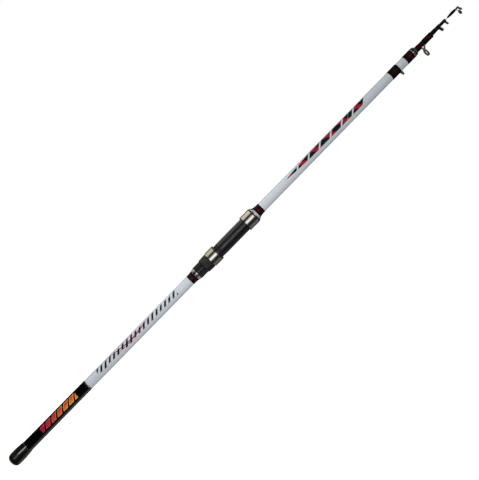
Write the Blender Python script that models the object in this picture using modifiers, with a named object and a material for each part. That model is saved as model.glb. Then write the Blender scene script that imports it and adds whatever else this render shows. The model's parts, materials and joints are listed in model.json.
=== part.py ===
"""A collapsed telescopic boat rod with a screw reel seat, five sections and six line guides.

Metres, +Z up. The rod stands on the flat end of its butt cap: the origin is the centre of that
face and +Z runs up the rod to the tip. The reel goes on the -Y side.
"""
import math
from collections import namedtuple

import bmesh
import bpy
from mathutils import Matrix, Vector

# Clearances
LAYER_GAP = 0.0001        # between a piece and what is glued, wound or pushed onto it
SEAT_GAP = 0.0003         # between pieces that meet end to end
SLIDE_GAP = 0.0003        # between a sliding piece and its guide, on the radius

# Eased edges, and how thickly a thread wrap builds up over the tube
EDGE = 0.0004
FINE_EDGE = 0.0002
WRAP_BUILD = 0.0004
GUIDE_WRAP_BUILD = 0.0005
SMALL_WRAP_BUILD = 0.0003

# Lengths along the rod, from the butt end upwards
CAP_LENGTH = 0.0375
GRIP_LENGTH = 0.1467
SEAT_START = 0.438        # from the butt end to the lower trim
LOWER_TRIM_LENGTH = 0.0123
WINDING_CHECK_LENGTH = 0.0055
THREAD_SHOWN = 0.0155     # bare thread below the nut
NUT_LENGTH = 0.0155
MOVING_BAND_LENGTH = 0.0166
MOVING_LIP_LENGTH = 0.0031
FOOT_BED_LENGTH = 0.0663  # between the two hoods
FIXED_LIP_LENGTH = 0.0019
FIXED_BAND_LENGTH = 0.0190
FIXED_RIM_LENGTH = 0.0023
TRIM_RING_LENGTH = 0.0048
UPPER_TRIM_LENGTH = 0.0126
BUTT_SECTION_TOP = 0.987  # from the butt end to the mouth of the first tube
MOUTH_COLLAR_LENGTH = 0.0063
FERRULE_RING_LENGTH = 0.0023
MOUTH_WRAP_LENGTH = 0.0162
BUTT_GUIDE_WRAP_LENGTH = 0.0188
BUTT_GUIDE_DROP = 0.0370  # from the mouth down to the top of the butt guide's wrap
SECOND_SHOWN = 0.0387     # what each closed section shows above the one outside it
THIRD_SHOWN = 0.0206
FOURTH_SHOWN = 0.0138
TIP_SHOWN = 0.0318        # solid tip above the fourth section

# How much of each section stays inside the next when the rod is drawn out
SECOND_OVERLAP = 0.130
THIRD_OVERLAP = 0.120
FOURTH_OVERLAP = 0.110
TIP_OVERLAP = 0.100

# Tubes: diameters grow from the solid tip outwards, by walls, tapers and running gaps
BUTT_DIAMETER = 0.01944
BUTT_WALL = 0.00185
MOUTH_WALL = 0.0025
TIP_END_DIAMETER = 0.0013
TIP_TAPER = 0.0013        # how much thicker a section is at its base than at its top
FOURTH_WALL = 0.00045
FOURTH_TAPER = 0.0004
THIRD_WALL = 0.00065
THIRD_TAPER = 0.0005
SECOND_WALL = 0.0007
SECOND_TAPER = 0.0017

# Butt end
CAP_WALL = 0.0020         # rubber over the tube where the cap is widest
CAP_LIP_WALL = 0.0007
CAP_WIDEST = 0.0210       # how high the cap keeps its full width
CAP_SHOULDER = 0.0090     # height of its rounded lower end
CAP_FACE_DIAMETER = 0.0150
CAP_FLOOR = 0.0035
CAP_LEDGE = 0.0007        # the inner step that holds the plug's flange
PLUG_FLANGE_LENGTH = 0.0038
PLUG_SHANK_LENGTH = 0.0180
PLUG_NECK_DEPTH = 0.0008  # the groove that the seal lies in
INSERT_WALL = 0.0009
INSERT_LENGTH = 0.0195
SEAL_THICKNESS = 0.0022
SHOCK_PAD_LENGTH = 0.0080
GRIP_WALL = 0.00033

# Reel seat
TRIM_SWELL = 0.0012       # how far the lower trim swells out to the winding check
CHECK_INSET = 0.0008      # the check and the tapered ring stay this much inside the seat's surface
TRIM_RING_STEP = 0.0020   # height of the tapered ring's thin end over the tube
ARBOR_WALL = 0.0011
ARBOR_LENGTH = 0.0140
BARREL_WALL = 0.00173
FOOT_FLAT_DEPTH = 0.0010  # how far the barrel is cut back under the hoods
FOOT_BED_RISE = 0.0003    # the bed between the hoods stands this much above that flat
HOOD_CORE_WALL = 0.0013
HOOD_BAND_WALL = 0.0007
HOOD_FLARE = 0.0003       # the bands are this much thicker at their upper ends
POCKET_HEIGHT = 0.0046    # room over the barrel for the end of a reel's foot
POCKET_DEPTH = 0.0155
POCKET_ROOF = 0.0008
POCKET_ANGLES = (24, 44)  # degrees from the reel's side where a pocket starts and ends its fall
HOOD_ANGLES = (30, 52)    # the same for the hood outside it
NUT_WALL = 0.00115
NUT_TAPER = 0.0006
NUT_RIBS = 30
NUT_RIB_DEPTH = 0.00035

# Guides: each ring's bore, and how far the near edge of its frame stands off the tube
BUTT_RING_BORE = 0.0140
BUTT_RING_STAND = 0.0061
BUTT_RING_REACH = 0.0060  # how far the butt guide's ring stands above its wrap
SECOND_RING_BORE = 0.0094
SECOND_RING_STAND = 0.0053
SECOND_RING_REACH = 0.0105    # how far the second guide's ring stands above the mouth collar
THIRD_RING_BORE = 0.0042
THIRD_RING_STAND = 0.0002
FOURTH_RING_BORE = 0.0036
FOURTH_RING_STAND = 0.0004
FLOATING_RING_BORE = 0.0046
FLOATING_RING_STAND = 0.0043
TIP_RING_BORE = 0.0040
TIP_RING_STAND = 0.0005
INLAY_WALL = 0.0007       # wall of the ceramic ring, and the share of the bore that is added to it
INLAY_SHARE = 0.05
HOOP_WALL = 0.0005        # the same for the frame's ring
HOOP_SHARE = 0.02
RING_WIDTH = 0.0014       # the same for the rings' width along their own axis
RING_WIDTH_SHARE = 0.07
HOOP_WIDTH_SHARE = 0.84   # the frame's ring is this much as wide as the inlay
SLEEVE_WALL = 0.00025     # wall of the thin sections' guide sleeves
FLOATING_SLEEVE_WALL = 0.0004
FLOATING_SLEEVE_LENGTH = 0.0206
FLOATING_SLEEVE_RISE = 0.0052    # how far it rests above the fourth section
TIP_TUBE_WALL = 0.0006
TIP_TUBE_OVER = 0.0004    # closed end of the tip top's tube over the end of the tip
GUIDE_TWIST = math.radians(-75)   # the upper sections are turned this far from the reel's side

SEGMENTS = 32
SMALL_SEGMENTS = 24
HOOD_SEGMENTS = 36
RING_SEGMENTS = 16
THIN_SEGMENTS = 12

# Stations along the rod, worked out from the lengths
grip_top = CAP_LENGTH + SEAT_GAP + GRIP_LENGTH
check_start = SEAT_START + LOWER_TRIM_LENGTH
barrel_start = check_start + WINDING_CHECK_LENGTH
nut_start = barrel_start + THREAD_SHOWN
moving_start = nut_start + NUT_LENGTH
moving_lip_start = moving_start + MOVING_BAND_LENGTH
moving_top = moving_lip_start + MOVING_LIP_LENGTH
fixed_start = moving_top + FOOT_BED_LENGTH
fixed_band_start = fixed_start + FIXED_LIP_LENGTH
fixed_rim_start = fixed_band_start + FIXED_BAND_LENGTH
barrel_top = fixed_rim_start + FIXED_RIM_LENGTH
trim_ring_top = barrel_top + TRIM_RING_LENGTH
upper_trim_top = trim_ring_top + UPPER_TRIM_LENGTH
collar_top = BUTT_SECTION_TOP + MOUTH_COLLAR_LENGTH
second_top = collar_top + SECOND_SHOWN
third_top = second_top + THIRD_SHOWN
fourth_top = third_top + FOURTH_SHOWN
tip_top = fourth_top + TIP_SHOWN

flange_start = CAP_FLOOR + SEAT_GAP
seal_start = flange_start + PLUG_FLANGE_LENGTH + SEAT_GAP
tube_start = seal_start + SEAL_THICKNESS + SEAT_GAP
shank_top = tube_start + PLUG_SHANK_LENGTH
pad_start = shank_top + SEAT_GAP
section_base = pad_start + SHOCK_PAD_LENGTH + SEAT_GAP

# How far each section draws out of the one around it
second_travel = BUTT_SECTION_TOP - SECOND_OVERLAP - section_base
third_travel = second_top - THIRD_OVERLAP - section_base
fourth_travel = third_top - FOURTH_OVERLAP - section_base
tip_travel = fourth_top - TIP_OVERLAP - section_base
floating_travel = tip_travel / 3

# Radii of the nested sections, worked out from the inside
tip_end_r = TIP_END_DIAMETER / 2
tip_base_r = tip_end_r + TIP_TAPER / 2
fourth_top_r = tip_base_r + SLIDE_GAP + FOURTH_WALL
fourth_base_r = fourth_top_r + FOURTH_TAPER / 2
third_top_r = fourth_base_r + SLIDE_GAP + THIRD_WALL
third_base_r = third_top_r + THIRD_TAPER / 2
second_top_r = third_base_r + SLIDE_GAP + SECOND_WALL
second_base_r = second_top_r + SECOND_TAPER / 2
mouth_bore_r = second_base_r + SLIDE_GAP
mouth_r = mouth_bore_r + MOUTH_WALL
butt_r = BUTT_DIAMETER / 2
butt_bore_r = butt_r - BUTT_WALL


def between(z, low_z, high_z, low, high):
    """A value that runs evenly from low at low_z to high at high_z."""
    return low + (high - low) * (z - low_z) / (high_z - low_z)


def butt_tube_r(z):
    """Outer radius of the first tube at a height."""
    return between(z, tube_start, BUTT_SECTION_TOP, butt_r, mouth_r)


def second_r(z):
    """Outer radius of the second section at a height, rod closed."""
    return between(z, section_base, second_top, second_base_r, second_top_r)


def third_r(z):
    """Outer radius of the third section at a height, rod closed."""
    return between(z, section_base, third_top, third_base_r, third_top_r)


def fourth_r(z):
    """Outer radius of the fourth section at a height, rod closed."""
    return between(z, section_base, fourth_top, fourth_base_r, fourth_top_r)


def tip_r(z):
    """Radius of the solid tip at a height, rod closed."""
    return between(z, section_base, tip_top, tip_base_r, tip_end_r)


# The reel seat is sized outwards from the tube
barrel_bore_r = butt_tube_r(barrel_start) + LAYER_GAP + ARBOR_WALL + LAYER_GAP
barrel_r = barrel_bore_r + BARREL_WALL
moving_bore_r = barrel_r + SLIDE_GAP
fixed_bore_r = barrel_r + LAYER_GAP
flat_y = barrel_r - FOOT_FLAT_DEPTH
bed_y = flat_y + FOOT_BED_RISE

for old in list(bpy.data.objects):
    bpy.data.objects.remove(old, do_unlink=True)

rod = bpy.data.collections.new("boat_rod")
tools = bpy.data.collections.new("cutters")
bpy.context.scene.collection.children.link(rod)
bpy.context.scene.collection.children.link(tools)

FINISHES = {
    "white_lacquer": ((0.80, 0.82, 0.86), 0.16, 0.0),
    "black_gloss": ((0.012, 0.012, 0.014), 0.12, 0.0),
    "black_rubber": ((0.030, 0.030, 0.022), 0.45, 0.0),
    "red_thread": ((0.20, 0.010, 0.012), 0.20, 0.2),
    "seat_plastic": ((0.030, 0.030, 0.036), 0.38, 0.0),
    "steel": ((0.62, 0.60, 0.57), 0.22, 1.0),
    "guide_metal": ((0.22, 0.22, 0.23), 0.30, 1.0),
    "ceramic": ((0.055, 0.052, 0.050), 0.10, 0.0),
    "dark_blank": ((0.022, 0.022, 0.025), 0.22, 0.0),
    "tip_glass": ((0.72, 0.80, 0.52), 0.30, 0.0),
    "inner_plastic": ((0.10, 0.10, 0.11), 0.50, 0.0),
    "foam": ((0.16, 0.15, 0.14), 0.85, 0.0),
}


def finish(slot):
    """The material of that name, made the first time it is asked for."""
    found = bpy.data.materials.get(slot)
    if found:
        return found
    colour, roughness, metallic = FINISHES[slot]
    made = bpy.data.materials.new(slot)
    made.use_nodes = True
    shader = made.node_tree.nodes["Principled BSDF"]
    shader.inputs["Base Color"].default_value = (*colour, 1.0)
    shader.inputs["Roughness"].default_value = roughness
    shader.inputs["Metallic"].default_value = metallic
    return made


def body(name, parent, z):
    """An empty on the rod's axis that carries the pieces of one moving body."""
    empty = bpy.data.objects.new(name, None)
    rod.objects.link(empty)
    empty.empty_display_size = 0.02
    empty.parent = parent
    empty.location = (0, 0, z - height_of(parent))
    return empty


def height_of(empty):
    """How high an empty of the chain stands above the butt end."""
    height = 0.0
    while empty is not None:
        height += empty.location.z
        empty = empty.parent
    return height


butt_body = body("butt_frame", None, 0.0)
seal_body = body("seal_frame", butt_body, seal_start)
cap_body = body("cap_frame", seal_body, 0.0)
hood_body = body("hood_frame", butt_body, moving_start)
nut_body = body("nut_frame", hood_body, nut_start)
second_body = body("second_frame", butt_body, section_base)
third_body = body("third_frame", second_body, section_base)
fourth_body = body("fourth_frame", third_body, section_base)
tip_body = body("tip_frame", fourth_body, section_base)
floating_body = body("floating_frame", tip_body, fourth_top)


def add(name, mesh, carrier, z, slot=None, twist=0.0):
    """An object of the rod, or of the cutters when it has no finish, at a height on its carrier."""
    obj = bpy.data.objects.new(name, mesh)
    if slot:
        rod.objects.link(obj)
        mesh.materials.append(finish(slot))
    else:
        tools.objects.link(obj)
        obj.hide_render = True
        obj.display_type = "WIRE"
    obj.parent = carrier
    obj.location = (0, 0, z - height_of(carrier))
    obj.rotation_euler = (0, 0, twist)
    return obj


def mesh_of(bm, name):
    """Turns a bmesh into a mesh and frees it."""
    mesh = bpy.data.meshes.new(name)
    bm.to_mesh(mesh)
    bm.free()
    return mesh


def profile_mesh(name, points, closed):
    """A wire profile in the XZ plane, running down its outer side."""
    bm = bmesh.new()
    verts = [bm.verts.new((r, 0, z)) for r, z in points]
    for a, b in zip(verts, verts[1:]):
        bm.edges.new((a, b))
    if closed:
        bm.edges.new((verts[-1], verts[0]))
    return mesh_of(bm, name)


def turned(name, carrier, z, points, slot=None, segments=SEGMENTS, twist=0.0):
    """A turned piece from (radius, height) points: closed on itself, or run to the axis at its ends."""
    to_axis = points[0][0] == 0.0
    mesh = profile_mesh(name, points, not to_axis)
    obj = add(name, mesh, carrier, z, slot, twist)
    screw = obj.modifiers.new("turn", "SCREW")
    screw.steps = segments
    screw.render_steps = segments
    screw.use_merge_vertices = True
    screw.merge_threshold = 0.00001
    screw.use_smooth_shade = True
    return obj


def arc(centre_r, centre_z, radius, start, end, count):
    """Points of a rounding, by angles in degrees from straight out to straight up."""
    out = []
    for k in range(count + 1):
        a = math.radians(start + (end - start) * k / count)
        out.append((centre_r + radius * math.cos(a), centre_z + radius * math.sin(a)))
    return out


def sleeve(name, carrier, low, high, inner, outer, slot, edge=0.0, segments=SEGMENTS, twist=0.0):
    """A turned tube whose outer edges may be eased. inner and outer are radii at a height."""
    points = [(inner(high), high - low), (outer(high) - edge, high - low)]
    if edge:
        points += [(outer(high - edge), high - low - edge), (outer(low + edge), edge)]
    points += [(outer(low) - edge, 0.0), (inner(low), 0.0)]
    return turned(name, carrier, low, points, slot, segments, twist)


def solid(z):
    """The inner radius of a sleeve that is bored later."""
    return 0.0


def bore_out(obj, carrier, low, high, surface, segments, twist):
    """Cuts a piece's bore to fit over a tube, after other pieces were joined to it."""
    past = 0.001
    cutter = turned(f"{obj.name}_bore", carrier, low - past, [
        (0.0, high - low + 2 * past),
        (surface(high + past) + LAYER_GAP, high - low + 2 * past),
        (surface(low - past) + LAYER_GAP, 0.0),
        (0.0, 0.0),
    ], None, segments, twist)
    modify(obj, cutter, "DIFFERENCE")


def on(surface, offset):
    """A surface set off outwards by a distance."""
    return lambda z: surface(z) + offset


def modify(obj, other, operation):
    """Adds a Boolean with another object to the stack."""
    step = obj.modifiers.new(other.name, "BOOLEAN")
    step.operation = operation
    step.solver = "EXACT"
    step.object = other


def block(name, carrier, z, low, high, slot=None, twist=0.0):
    """A box between two corners, as a piece or as a cutter."""
    bm = bmesh.new()
    bmesh.ops.create_cube(bm, size=1.0)
    size = Vector(high) - Vector(low)
    centre = (Vector(high) + Vector(low)) / 2
    bmesh.ops.transform(bm, matrix=Matrix.Translation(centre) @ Matrix.Diagonal((*size, 1)), verts=bm.verts)
    return add(name, mesh_of(bm, name), carrier, z, slot, twist)


def wire(name, carrier, z, points, radius, twist=0.0):
    """A round wire through points, as a welded mesh that can be joined to other pieces."""
    curve = bpy.data.curves.new(name, "CURVE")
    curve.dimensions = "3D"
    curve.bevel_depth = radius
    curve.bevel_resolution = 1
    curve.use_fill_caps = True
    line = curve.splines.new("POLY")
    line.points.add(len(points) - 1)
    for point, place in zip(line.points, points):
        point.co = (*place, 1)
    drawn = bpy.data.objects.new(name, curve)
    tools.objects.link(drawn)
    bpy.context.view_layer.update()
    mesh = bpy.data.meshes.new_from_object(drawn.evaluated_get(bpy.context.evaluated_depsgraph_get()))
    bpy.data.objects.remove(drawn, do_unlink=True)
    bpy.data.curves.remove(curve)
    bm = bmesh.new()
    bm.from_mesh(mesh)
    bmesh.ops.remove_doubles(bm, verts=bm.verts, dist=0.00001)
    bmesh.ops.recalc_face_normals(bm, faces=bm.faces)
    bm.to_mesh(mesh)
    bm.free()
    return add(name, mesh, carrier, z, None, twist)


def lofted(name, carrier, z, rings, slot, segments):
    """A closed piece through rings of unlike outline, each (height, radius at an angle)."""
    bm = bmesh.new()
    loops = []
    for height, radius in rings:
        verts = []
        for k in range(segments):
            a = 2 * math.pi * k / segments
            r = radius(a)
            verts.append(bm.verts.new((r * math.cos(a), r * math.sin(a), height)))
        loops.append(verts)
    for upper, lower in zip(loops, loops[1:] + loops[:1]):
        for k in range(segments):
            bm.faces.new((upper[k - 1], lower[k - 1], lower[k], upper[k]))
    bmesh.ops.recalc_face_normals(bm, faces=bm.faces)
    return add(name, mesh_of(bm, name), carrier, z, slot)


# The butt end: a rubber cap on a screw plug, which lets the inner sections out for cleaning
def butt_end():
    bore_r = butt_r + SEAT_GAP
    cap_r = bore_r + CAP_WALL
    face_r = CAP_FACE_DIAMETER / 2
    pocket_r = bore_r - CAP_LEDGE
    inside = [(0.0, CAP_FLOOR), (pocket_r, CAP_FLOOR), (pocket_r, seal_start), (bore_r, seal_start)]
    lip = [(bore_r, CAP_LENGTH), (bore_r + CAP_LIP_WALL, CAP_LENGTH - EDGE)]
    rounding = []
    steps = 5
    for k in range(steps + 1):
        a = math.radians(90 * k / steps)
        rounding.append((face_r + (cap_r - face_r) * math.cos(a), CAP_SHOULDER * (1 - math.sin(a))))
    outside = lip + [(cap_r, CAP_WIDEST)] + rounding
    turned("butt_cap", cap_body, 0.0, inside + outside + [(0.0, 0.0)], "black_rubber")

    insert_r = butt_bore_r - LAYER_GAP
    thread_r = insert_r - INSERT_WALL
    shank_r = thread_r - SLIDE_GAP
    flange_r = pocket_r - SEAT_GAP
    neck_r = shank_r - PLUG_NECK_DEPTH
    low = flange_start
    turned("butt_plug", cap_body, low, [
        (0.0, shank_top - low),
        (shank_r - EDGE, shank_top - low),
        (shank_r, shank_top - low - EDGE),
        (shank_r, tube_start - low),
        (neck_r, tube_start - low),
        (neck_r, PLUG_FLANGE_LENGTH),
        (flange_r, PLUG_FLANGE_LENGTH),
        (flange_r, 0.0),
        (0.0, 0.0),
    ], "inner_plastic")
    seal_r = SEAL_THICKNESS / 2
    turned("plug_seal", seal_body, seal_start,
           arc(neck_r + LAYER_GAP + seal_r, seal_r, seal_r, 90, -210, 5), "black_rubber", SMALL_SEGMENTS)
    turned("shock_pad", cap_body, pad_start, [
        (0.0, SHOCK_PAD_LENGTH),
        (shank_r - EDGE, SHOCK_PAD_LENGTH),
        (shank_r, SHOCK_PAD_LENGTH - EDGE),
        (shank_r, 0.0),
        (0.0, 0.0),
    ], "foam", SMALL_SEGMENTS)
    turned("butt_insert", butt_body, tube_start, [
        (thread_r, INSERT_LENGTH),
        (insert_r, INSERT_LENGTH),
        (insert_r, 0.0),
        (thread_r, 0.0),
    ], "inner_plastic")


# The first tube, with its grip sleeve
def butt_tube():
    top = BUTT_SECTION_TOP
    turned("butt_blank", butt_body, tube_start, [
        (mouth_bore_r, top - tube_start),
        (mouth_r - EDGE, top - tube_start),
        (butt_tube_r(top - EDGE), top - tube_start - EDGE),
        (butt_r, 0.0),
        (butt_bore_r, 0.0),
        (butt_bore_r, section_base - tube_start),
    ], "white_lacquer")
    sleeve("grip_sleeve", butt_body, CAP_LENGTH + SEAT_GAP, grip_top, on(butt_tube_r, LAYER_GAP),
           on(butt_tube_r, LAYER_GAP + GRIP_WALL), "black_gloss")


# The trims, the winding check and the arbors round the tube at the reel seat
def seat_trims():
    check_low_r = butt_tube_r(check_start) + TRIM_SWELL
    turned("lower_trim_wrap", butt_body, SEAT_START, [
        (butt_tube_r(check_start) + LAYER_GAP, LOWER_TRIM_LENGTH - SEAT_GAP),
        (check_low_r, LOWER_TRIM_LENGTH - SEAT_GAP),
        (butt_tube_r(SEAT_START) + WRAP_BUILD, LOWER_TRIM_LENGTH * 0.35),
        (butt_tube_r(SEAT_START) + WRAP_BUILD, EDGE),
        (butt_tube_r(SEAT_START) + LAYER_GAP, 0.0),
    ], "black_gloss")
    brim_r = barrel_r - CHECK_INSET
    turned("winding_check", butt_body, check_start, [
        (butt_tube_r(barrel_start) + LAYER_GAP, WINDING_CHECK_LENGTH - SEAT_GAP),
        (brim_r - FINE_EDGE, WINDING_CHECK_LENGTH - SEAT_GAP),
        (brim_r, WINDING_CHECK_LENGTH - SEAT_GAP - EDGE),
        (check_low_r + FINE_EDGE, EDGE),
        (check_low_r, 0.0),
        (butt_tube_r(check_start) + LAYER_GAP, 0.0),
    ], "steel")

    places = ("lower", "middle", "upper")
    room = (barrel_top - barrel_start - len(places) * ARBOR_LENGTH) / (len(places) - 1)
    for k, where in enumerate(places):
        low = barrel_start + k * (ARBOR_LENGTH + room) + SEAT_GAP
        high = low + ARBOR_LENGTH - 2 * SEAT_GAP
        sleeve(f"seat_arbor_{where}", butt_body, low, high, on(butt_tube_r, LAYER_GAP),
               lambda z: barrel_bore_r - LAYER_GAP, "foam")

    rim_r = fixed_bore_r + HOOD_CORE_WALL + HOOD_BAND_WALL - CHECK_INSET
    thin_r = butt_tube_r(trim_ring_top) + TRIM_RING_STEP
    turned("upper_trim_ring", butt_body, barrel_top + SEAT_GAP, [
        (butt_tube_r(trim_ring_top) + LAYER_GAP, TRIM_RING_LENGTH - SEAT_GAP),
        (thin_r, TRIM_RING_LENGTH - SEAT_GAP),
        (thin_r + EDGE, TRIM_RING_LENGTH * 0.77),
        (rim_r, TRIM_RING_LENGTH * 0.21),
        (rim_r, 0.0),
        (butt_tube_r(barrel_top) + LAYER_GAP, 0.0),
    ], "steel")
    turned("upper_trim_wrap", butt_body, trim_ring_top + SEAT_GAP, [
        (butt_tube_r(upper_trim_top) + LAYER_GAP, UPPER_TRIM_LENGTH),
        (butt_tube_r(upper_trim_top) + WRAP_BUILD, UPPER_TRIM_LENGTH - EDGE),
        (butt_tube_r(trim_ring_top) + 2 * WRAP_BUILD, UPPER_TRIM_LENGTH * 0.45),
        (thin_r - FINE_EDGE, 0.0),
        (butt_tube_r(trim_ring_top) + LAYER_GAP, 0.0),
    ], "black_gloss")


# The reel seat's barrel, cut flat on the reel's side
def seat_barrel():
    length = barrel_top - barrel_start
    barrel = turned("seat_barrel", butt_body, barrel_start, [
        (barrel_bore_r, length),
        (barrel_r - EDGE, length),
        (barrel_r, length - EDGE),
        (barrel_r, EDGE),
        (barrel_r - EDGE, 0.0),
        (barrel_bore_r, 0.0),
    ], "seat_plastic", HOOD_SEGMENTS)
    step = 0.0015
    overlap = 0.0001
    spans = (
        ("flat_low", moving_top - POCKET_DEPTH, moving_top + step, flat_y),
        ("flat_middle", moving_top + step - overlap, fixed_start - step + overlap, bed_y),
        ("flat_high", fixed_start - step, fixed_start + POCKET_DEPTH, flat_y),
    )
    for name, low, high, depth in spans:
        cutter = block(name, butt_body, low, (-barrel_r, -2 * barrel_r, 0), (barrel_r, -depth, high - low))
        modify(barrel, cutter, "DIFFERENCE")


def bump(angle, plateau, end):
    """1 on the reel's side, falling smoothly to 0 between two angles in degrees from it."""
    away = abs(math.degrees(math.atan2(math.cos(angle), -math.sin(angle))))
    t = min(max((end - away) / (end - plateau), 0.0), 1.0)
    return t * t * (3 - 2 * t)


def circle(r):
    """The outline of a plain ring."""
    return lambda a: r


def swollen(round_r, raised, angles):
    """A circle that swells out over the reel's foot."""
    return lambda a: round_r + raised * bump(a, *angles)


def hood(name, carrier, low, lip, band, rim, bore_r, mouth_up, raised_rim):
    """A hood and its steel band. Its pocket opens towards the other hood."""
    total = lip + band + rim
    core_r = bore_r + HOOD_CORE_WALL
    band_r = core_r + LAYER_GAP
    out_r = band_r + HOOD_BAND_WALL
    rise = POCKET_HEIGHT + POCKET_ROOF - HOOD_CORE_WALL
    ease = 0.0006
    inner = circle(bore_r)
    pocket = swollen(bore_r, POCKET_HEIGHT, POCKET_ANGLES)
    core = swollen(core_r, rise, HOOD_ANGLES)
    full = swollen(out_r, rise, HOOD_ANGLES)
    eased = swollen(out_r - ease, rise - EDGE, HOOD_ANGLES)
    closed_end = swollen(out_r - ease, raised_rim * (rise - 2 * ease), HOOD_ANGLES)

    def at(height):
        """Heights are counted from the closed end, so the lower hood is used as it is."""
        return height if mouth_up else total - height

    rings = [(at(total), pocket), (at(total), eased), (at(total - ease), full), (at(total - lip), full),
             (at(total - lip), core)]
    if rim:
        rings += [(at(rim), core), (at(rim), full), (at(ease), full), (at(0.0), closed_end)]
    else:
        rings += [(at(0.0), core)]
    pocket_end = total - POCKET_DEPTH
    rings += [(at(0.0), inner), (at(pocket_end - FINE_EDGE), inner), (at(pocket_end), pocket)]
    lofted(name, carrier, low, rings, "seat_plastic", HOOD_SEGMENTS)

    bottom = rim + SEAT_GAP / 2
    top = total - lip - SEAT_GAP / 2
    flare_top = HOOD_FLARE if mouth_up else 0.0
    flare_bottom = HOOD_FLARE - flare_top
    lofted(f"{name}_band", carrier, low, [
        (at(top), swollen(band_r, rise, HOOD_ANGLES)),
        (at(top), swollen(out_r + flare_top, rise, HOOD_ANGLES)),
        (at(bottom), swollen(out_r + flare_bottom, rise, HOOD_ANGLES)),
        (at(bottom), swollen(band_r, rise, HOOD_ANGLES)),
    ], "steel", HOOD_SEGMENTS)


# The hoods grip the ends of a reel's foot; the ribbed nut drives the lower one up
def hoods_and_nut():
    hood("fixed_hood", butt_body, fixed_start, FIXED_LIP_LENGTH, FIXED_BAND_LENGTH,
         FIXED_RIM_LENGTH, fixed_bore_r, False, 0.75)
    hood("moving_hood", hood_body, moving_start, MOVING_LIP_LENGTH, MOVING_BAND_LENGTH,
         0.0, moving_bore_r, True, 1.0)
    points_per_rib = 3
    count = NUT_RIBS * points_per_rib
    low_r = moving_bore_r + NUT_WALL - NUT_TAPER / 2
    high_r = low_r + NUT_TAPER
    length = NUT_LENGTH - SEAT_GAP
    chamfer = 0.0010
    groove_r = NUT_RIB_DEPTH * 2

    def ribbed(crest_r):
        """Two points on the crest of each rib and one in the groove beside it."""
        last = points_per_rib - 1
        return lambda a: crest_r - NUT_RIB_DEPTH * (round(a / (2 * math.pi) * count) % points_per_rib == last)

    lofted("lock_nut", nut_body, nut_start, [
        (length, circle(moving_bore_r)),
        (length, circle(high_r - groove_r)),
        (length - chamfer, ribbed(high_r)),
        (chamfer, ribbed(low_r)),
        (0.0, circle(low_r - groove_r)),
        (0.0, circle(moving_bore_r)),
    ], "seat_plastic", count)


# The mouth of the first tube: wrap, bright ring and rounded collar
def mouth():
    wrap_top = BUTT_SECTION_TOP - FERRULE_RING_LENGTH - SEAT_GAP
    sleeve("mouth_wrap", butt_body, wrap_top - MOUTH_WRAP_LENGTH, wrap_top, on(butt_tube_r, LAYER_GAP),
           on(butt_tube_r, WRAP_BUILD), "black_gloss", FINE_EDGE)
    sleeve("ferrule_ring", butt_body, wrap_top + SEAT_GAP, BUTT_SECTION_TOP - SEAT_GAP,
           on(butt_tube_r, LAYER_GAP), on(butt_tube_r, WRAP_BUILD + LAYER_GAP), "steel")
    bore_r = mouth_bore_r
    out_r = mouth_r + LAYER_GAP
    lip_r = bore_r + 0.0007
    straight = 0.0012
    run = MOUTH_COLLAR_LENGTH - SEAT_GAP
    rise = run - straight - EDGE
    rounding = []
    steps = 4
    for k in range(steps + 1):
        a = math.radians(90 * k / steps)
        rounding.append((lip_r + (out_r - lip_r) * math.sin(a), straight + rise * math.cos(a)))
    points = [(bore_r, run)] + rounding + [(out_r - FINE_EDGE, 0.0), (bore_r, 0.0)]
    turned("mouth_collar", butt_body, BUTT_SECTION_TOP + SEAT_GAP / 2, points, "black_gloss")


def tube(name, carrier, top, outer, wall):
    """A tapered tube from the shock pad up to its mouth."""
    length = top - section_base
    turned(name, carrier, section_base, [
        (outer(top) - wall, length),
        (outer(top) - FINE_EDGE, length),
        (outer(top), length - FINE_EDGE),
        (outer(section_base), 0.0),
        (outer(section_base) - wall, 0.0),
    ], "dark_blank", SMALL_SEGMENTS)


# The nested sections
def sections():
    tube("second_blank", second_body, second_top, second_r, SECOND_WALL)
    tube("third_blank", third_body, third_top, third_r, THIRD_WALL)
    tube("fourth_blank", fourth_body, fourth_top, fourth_r, FOURTH_WALL)
    length = tip_top - section_base
    turned("tip_blank", tip_body, section_base, [
        (0.0, length),
        (tip_end_r, length),
        (tip_base_r, 0.0),
        (0.0, 0.0),
    ], "tip_glass", THIN_SEGMENTS)


# A guide's ring: where it is, how large, and how far it leans towards the tip
Ring = namedtuple("Ring", "carrier z bore height lean twist")

# A guide's foot along a tube
Foot = namedtuple("Foot", "carrier low high surface width thick twist")


def ring_sizes(bore):
    """Outer radius of a ring's inlay, and inner and outer radii of its frame, from its bore."""
    inlay_r = bore / 2 + INLAY_WALL + INLAY_SHARE * bore
    frame_in = inlay_r + LAYER_GAP
    frame_out = frame_in + HOOP_WALL + HOOP_SHARE * bore
    return inlay_r, frame_in, frame_out


def ring_width(bore):
    """How wide a ring's inlay is along its axis."""
    return RING_WIDTH + RING_WIDTH_SHARE * bore


def ring_height(surface_r, stand, bore):
    """How far the middle of a ring is from the rod's axis."""
    return surface_r + stand + ring_sizes(bore)[2]


def ring_place(ring):
    """Puts a ring off the axis on the reel's side and leans it towards the tip."""
    return Matrix.Translation((0, -ring.height, 0)) @ Matrix.Rotation(ring.lean, 4, "X")


def ring_piece(name, ring, points, slot=None):
    """A turned piece round a ring's own axis."""
    obj = turned(name, ring.carrier, ring.z, points, slot, RING_SEGMENTS)
    turn = Matrix.Rotation(ring.twist, 4, "Z")
    obj.matrix_local = Matrix.Translation(obj.location) @ turn @ ring_place(ring)
    return obj


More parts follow.
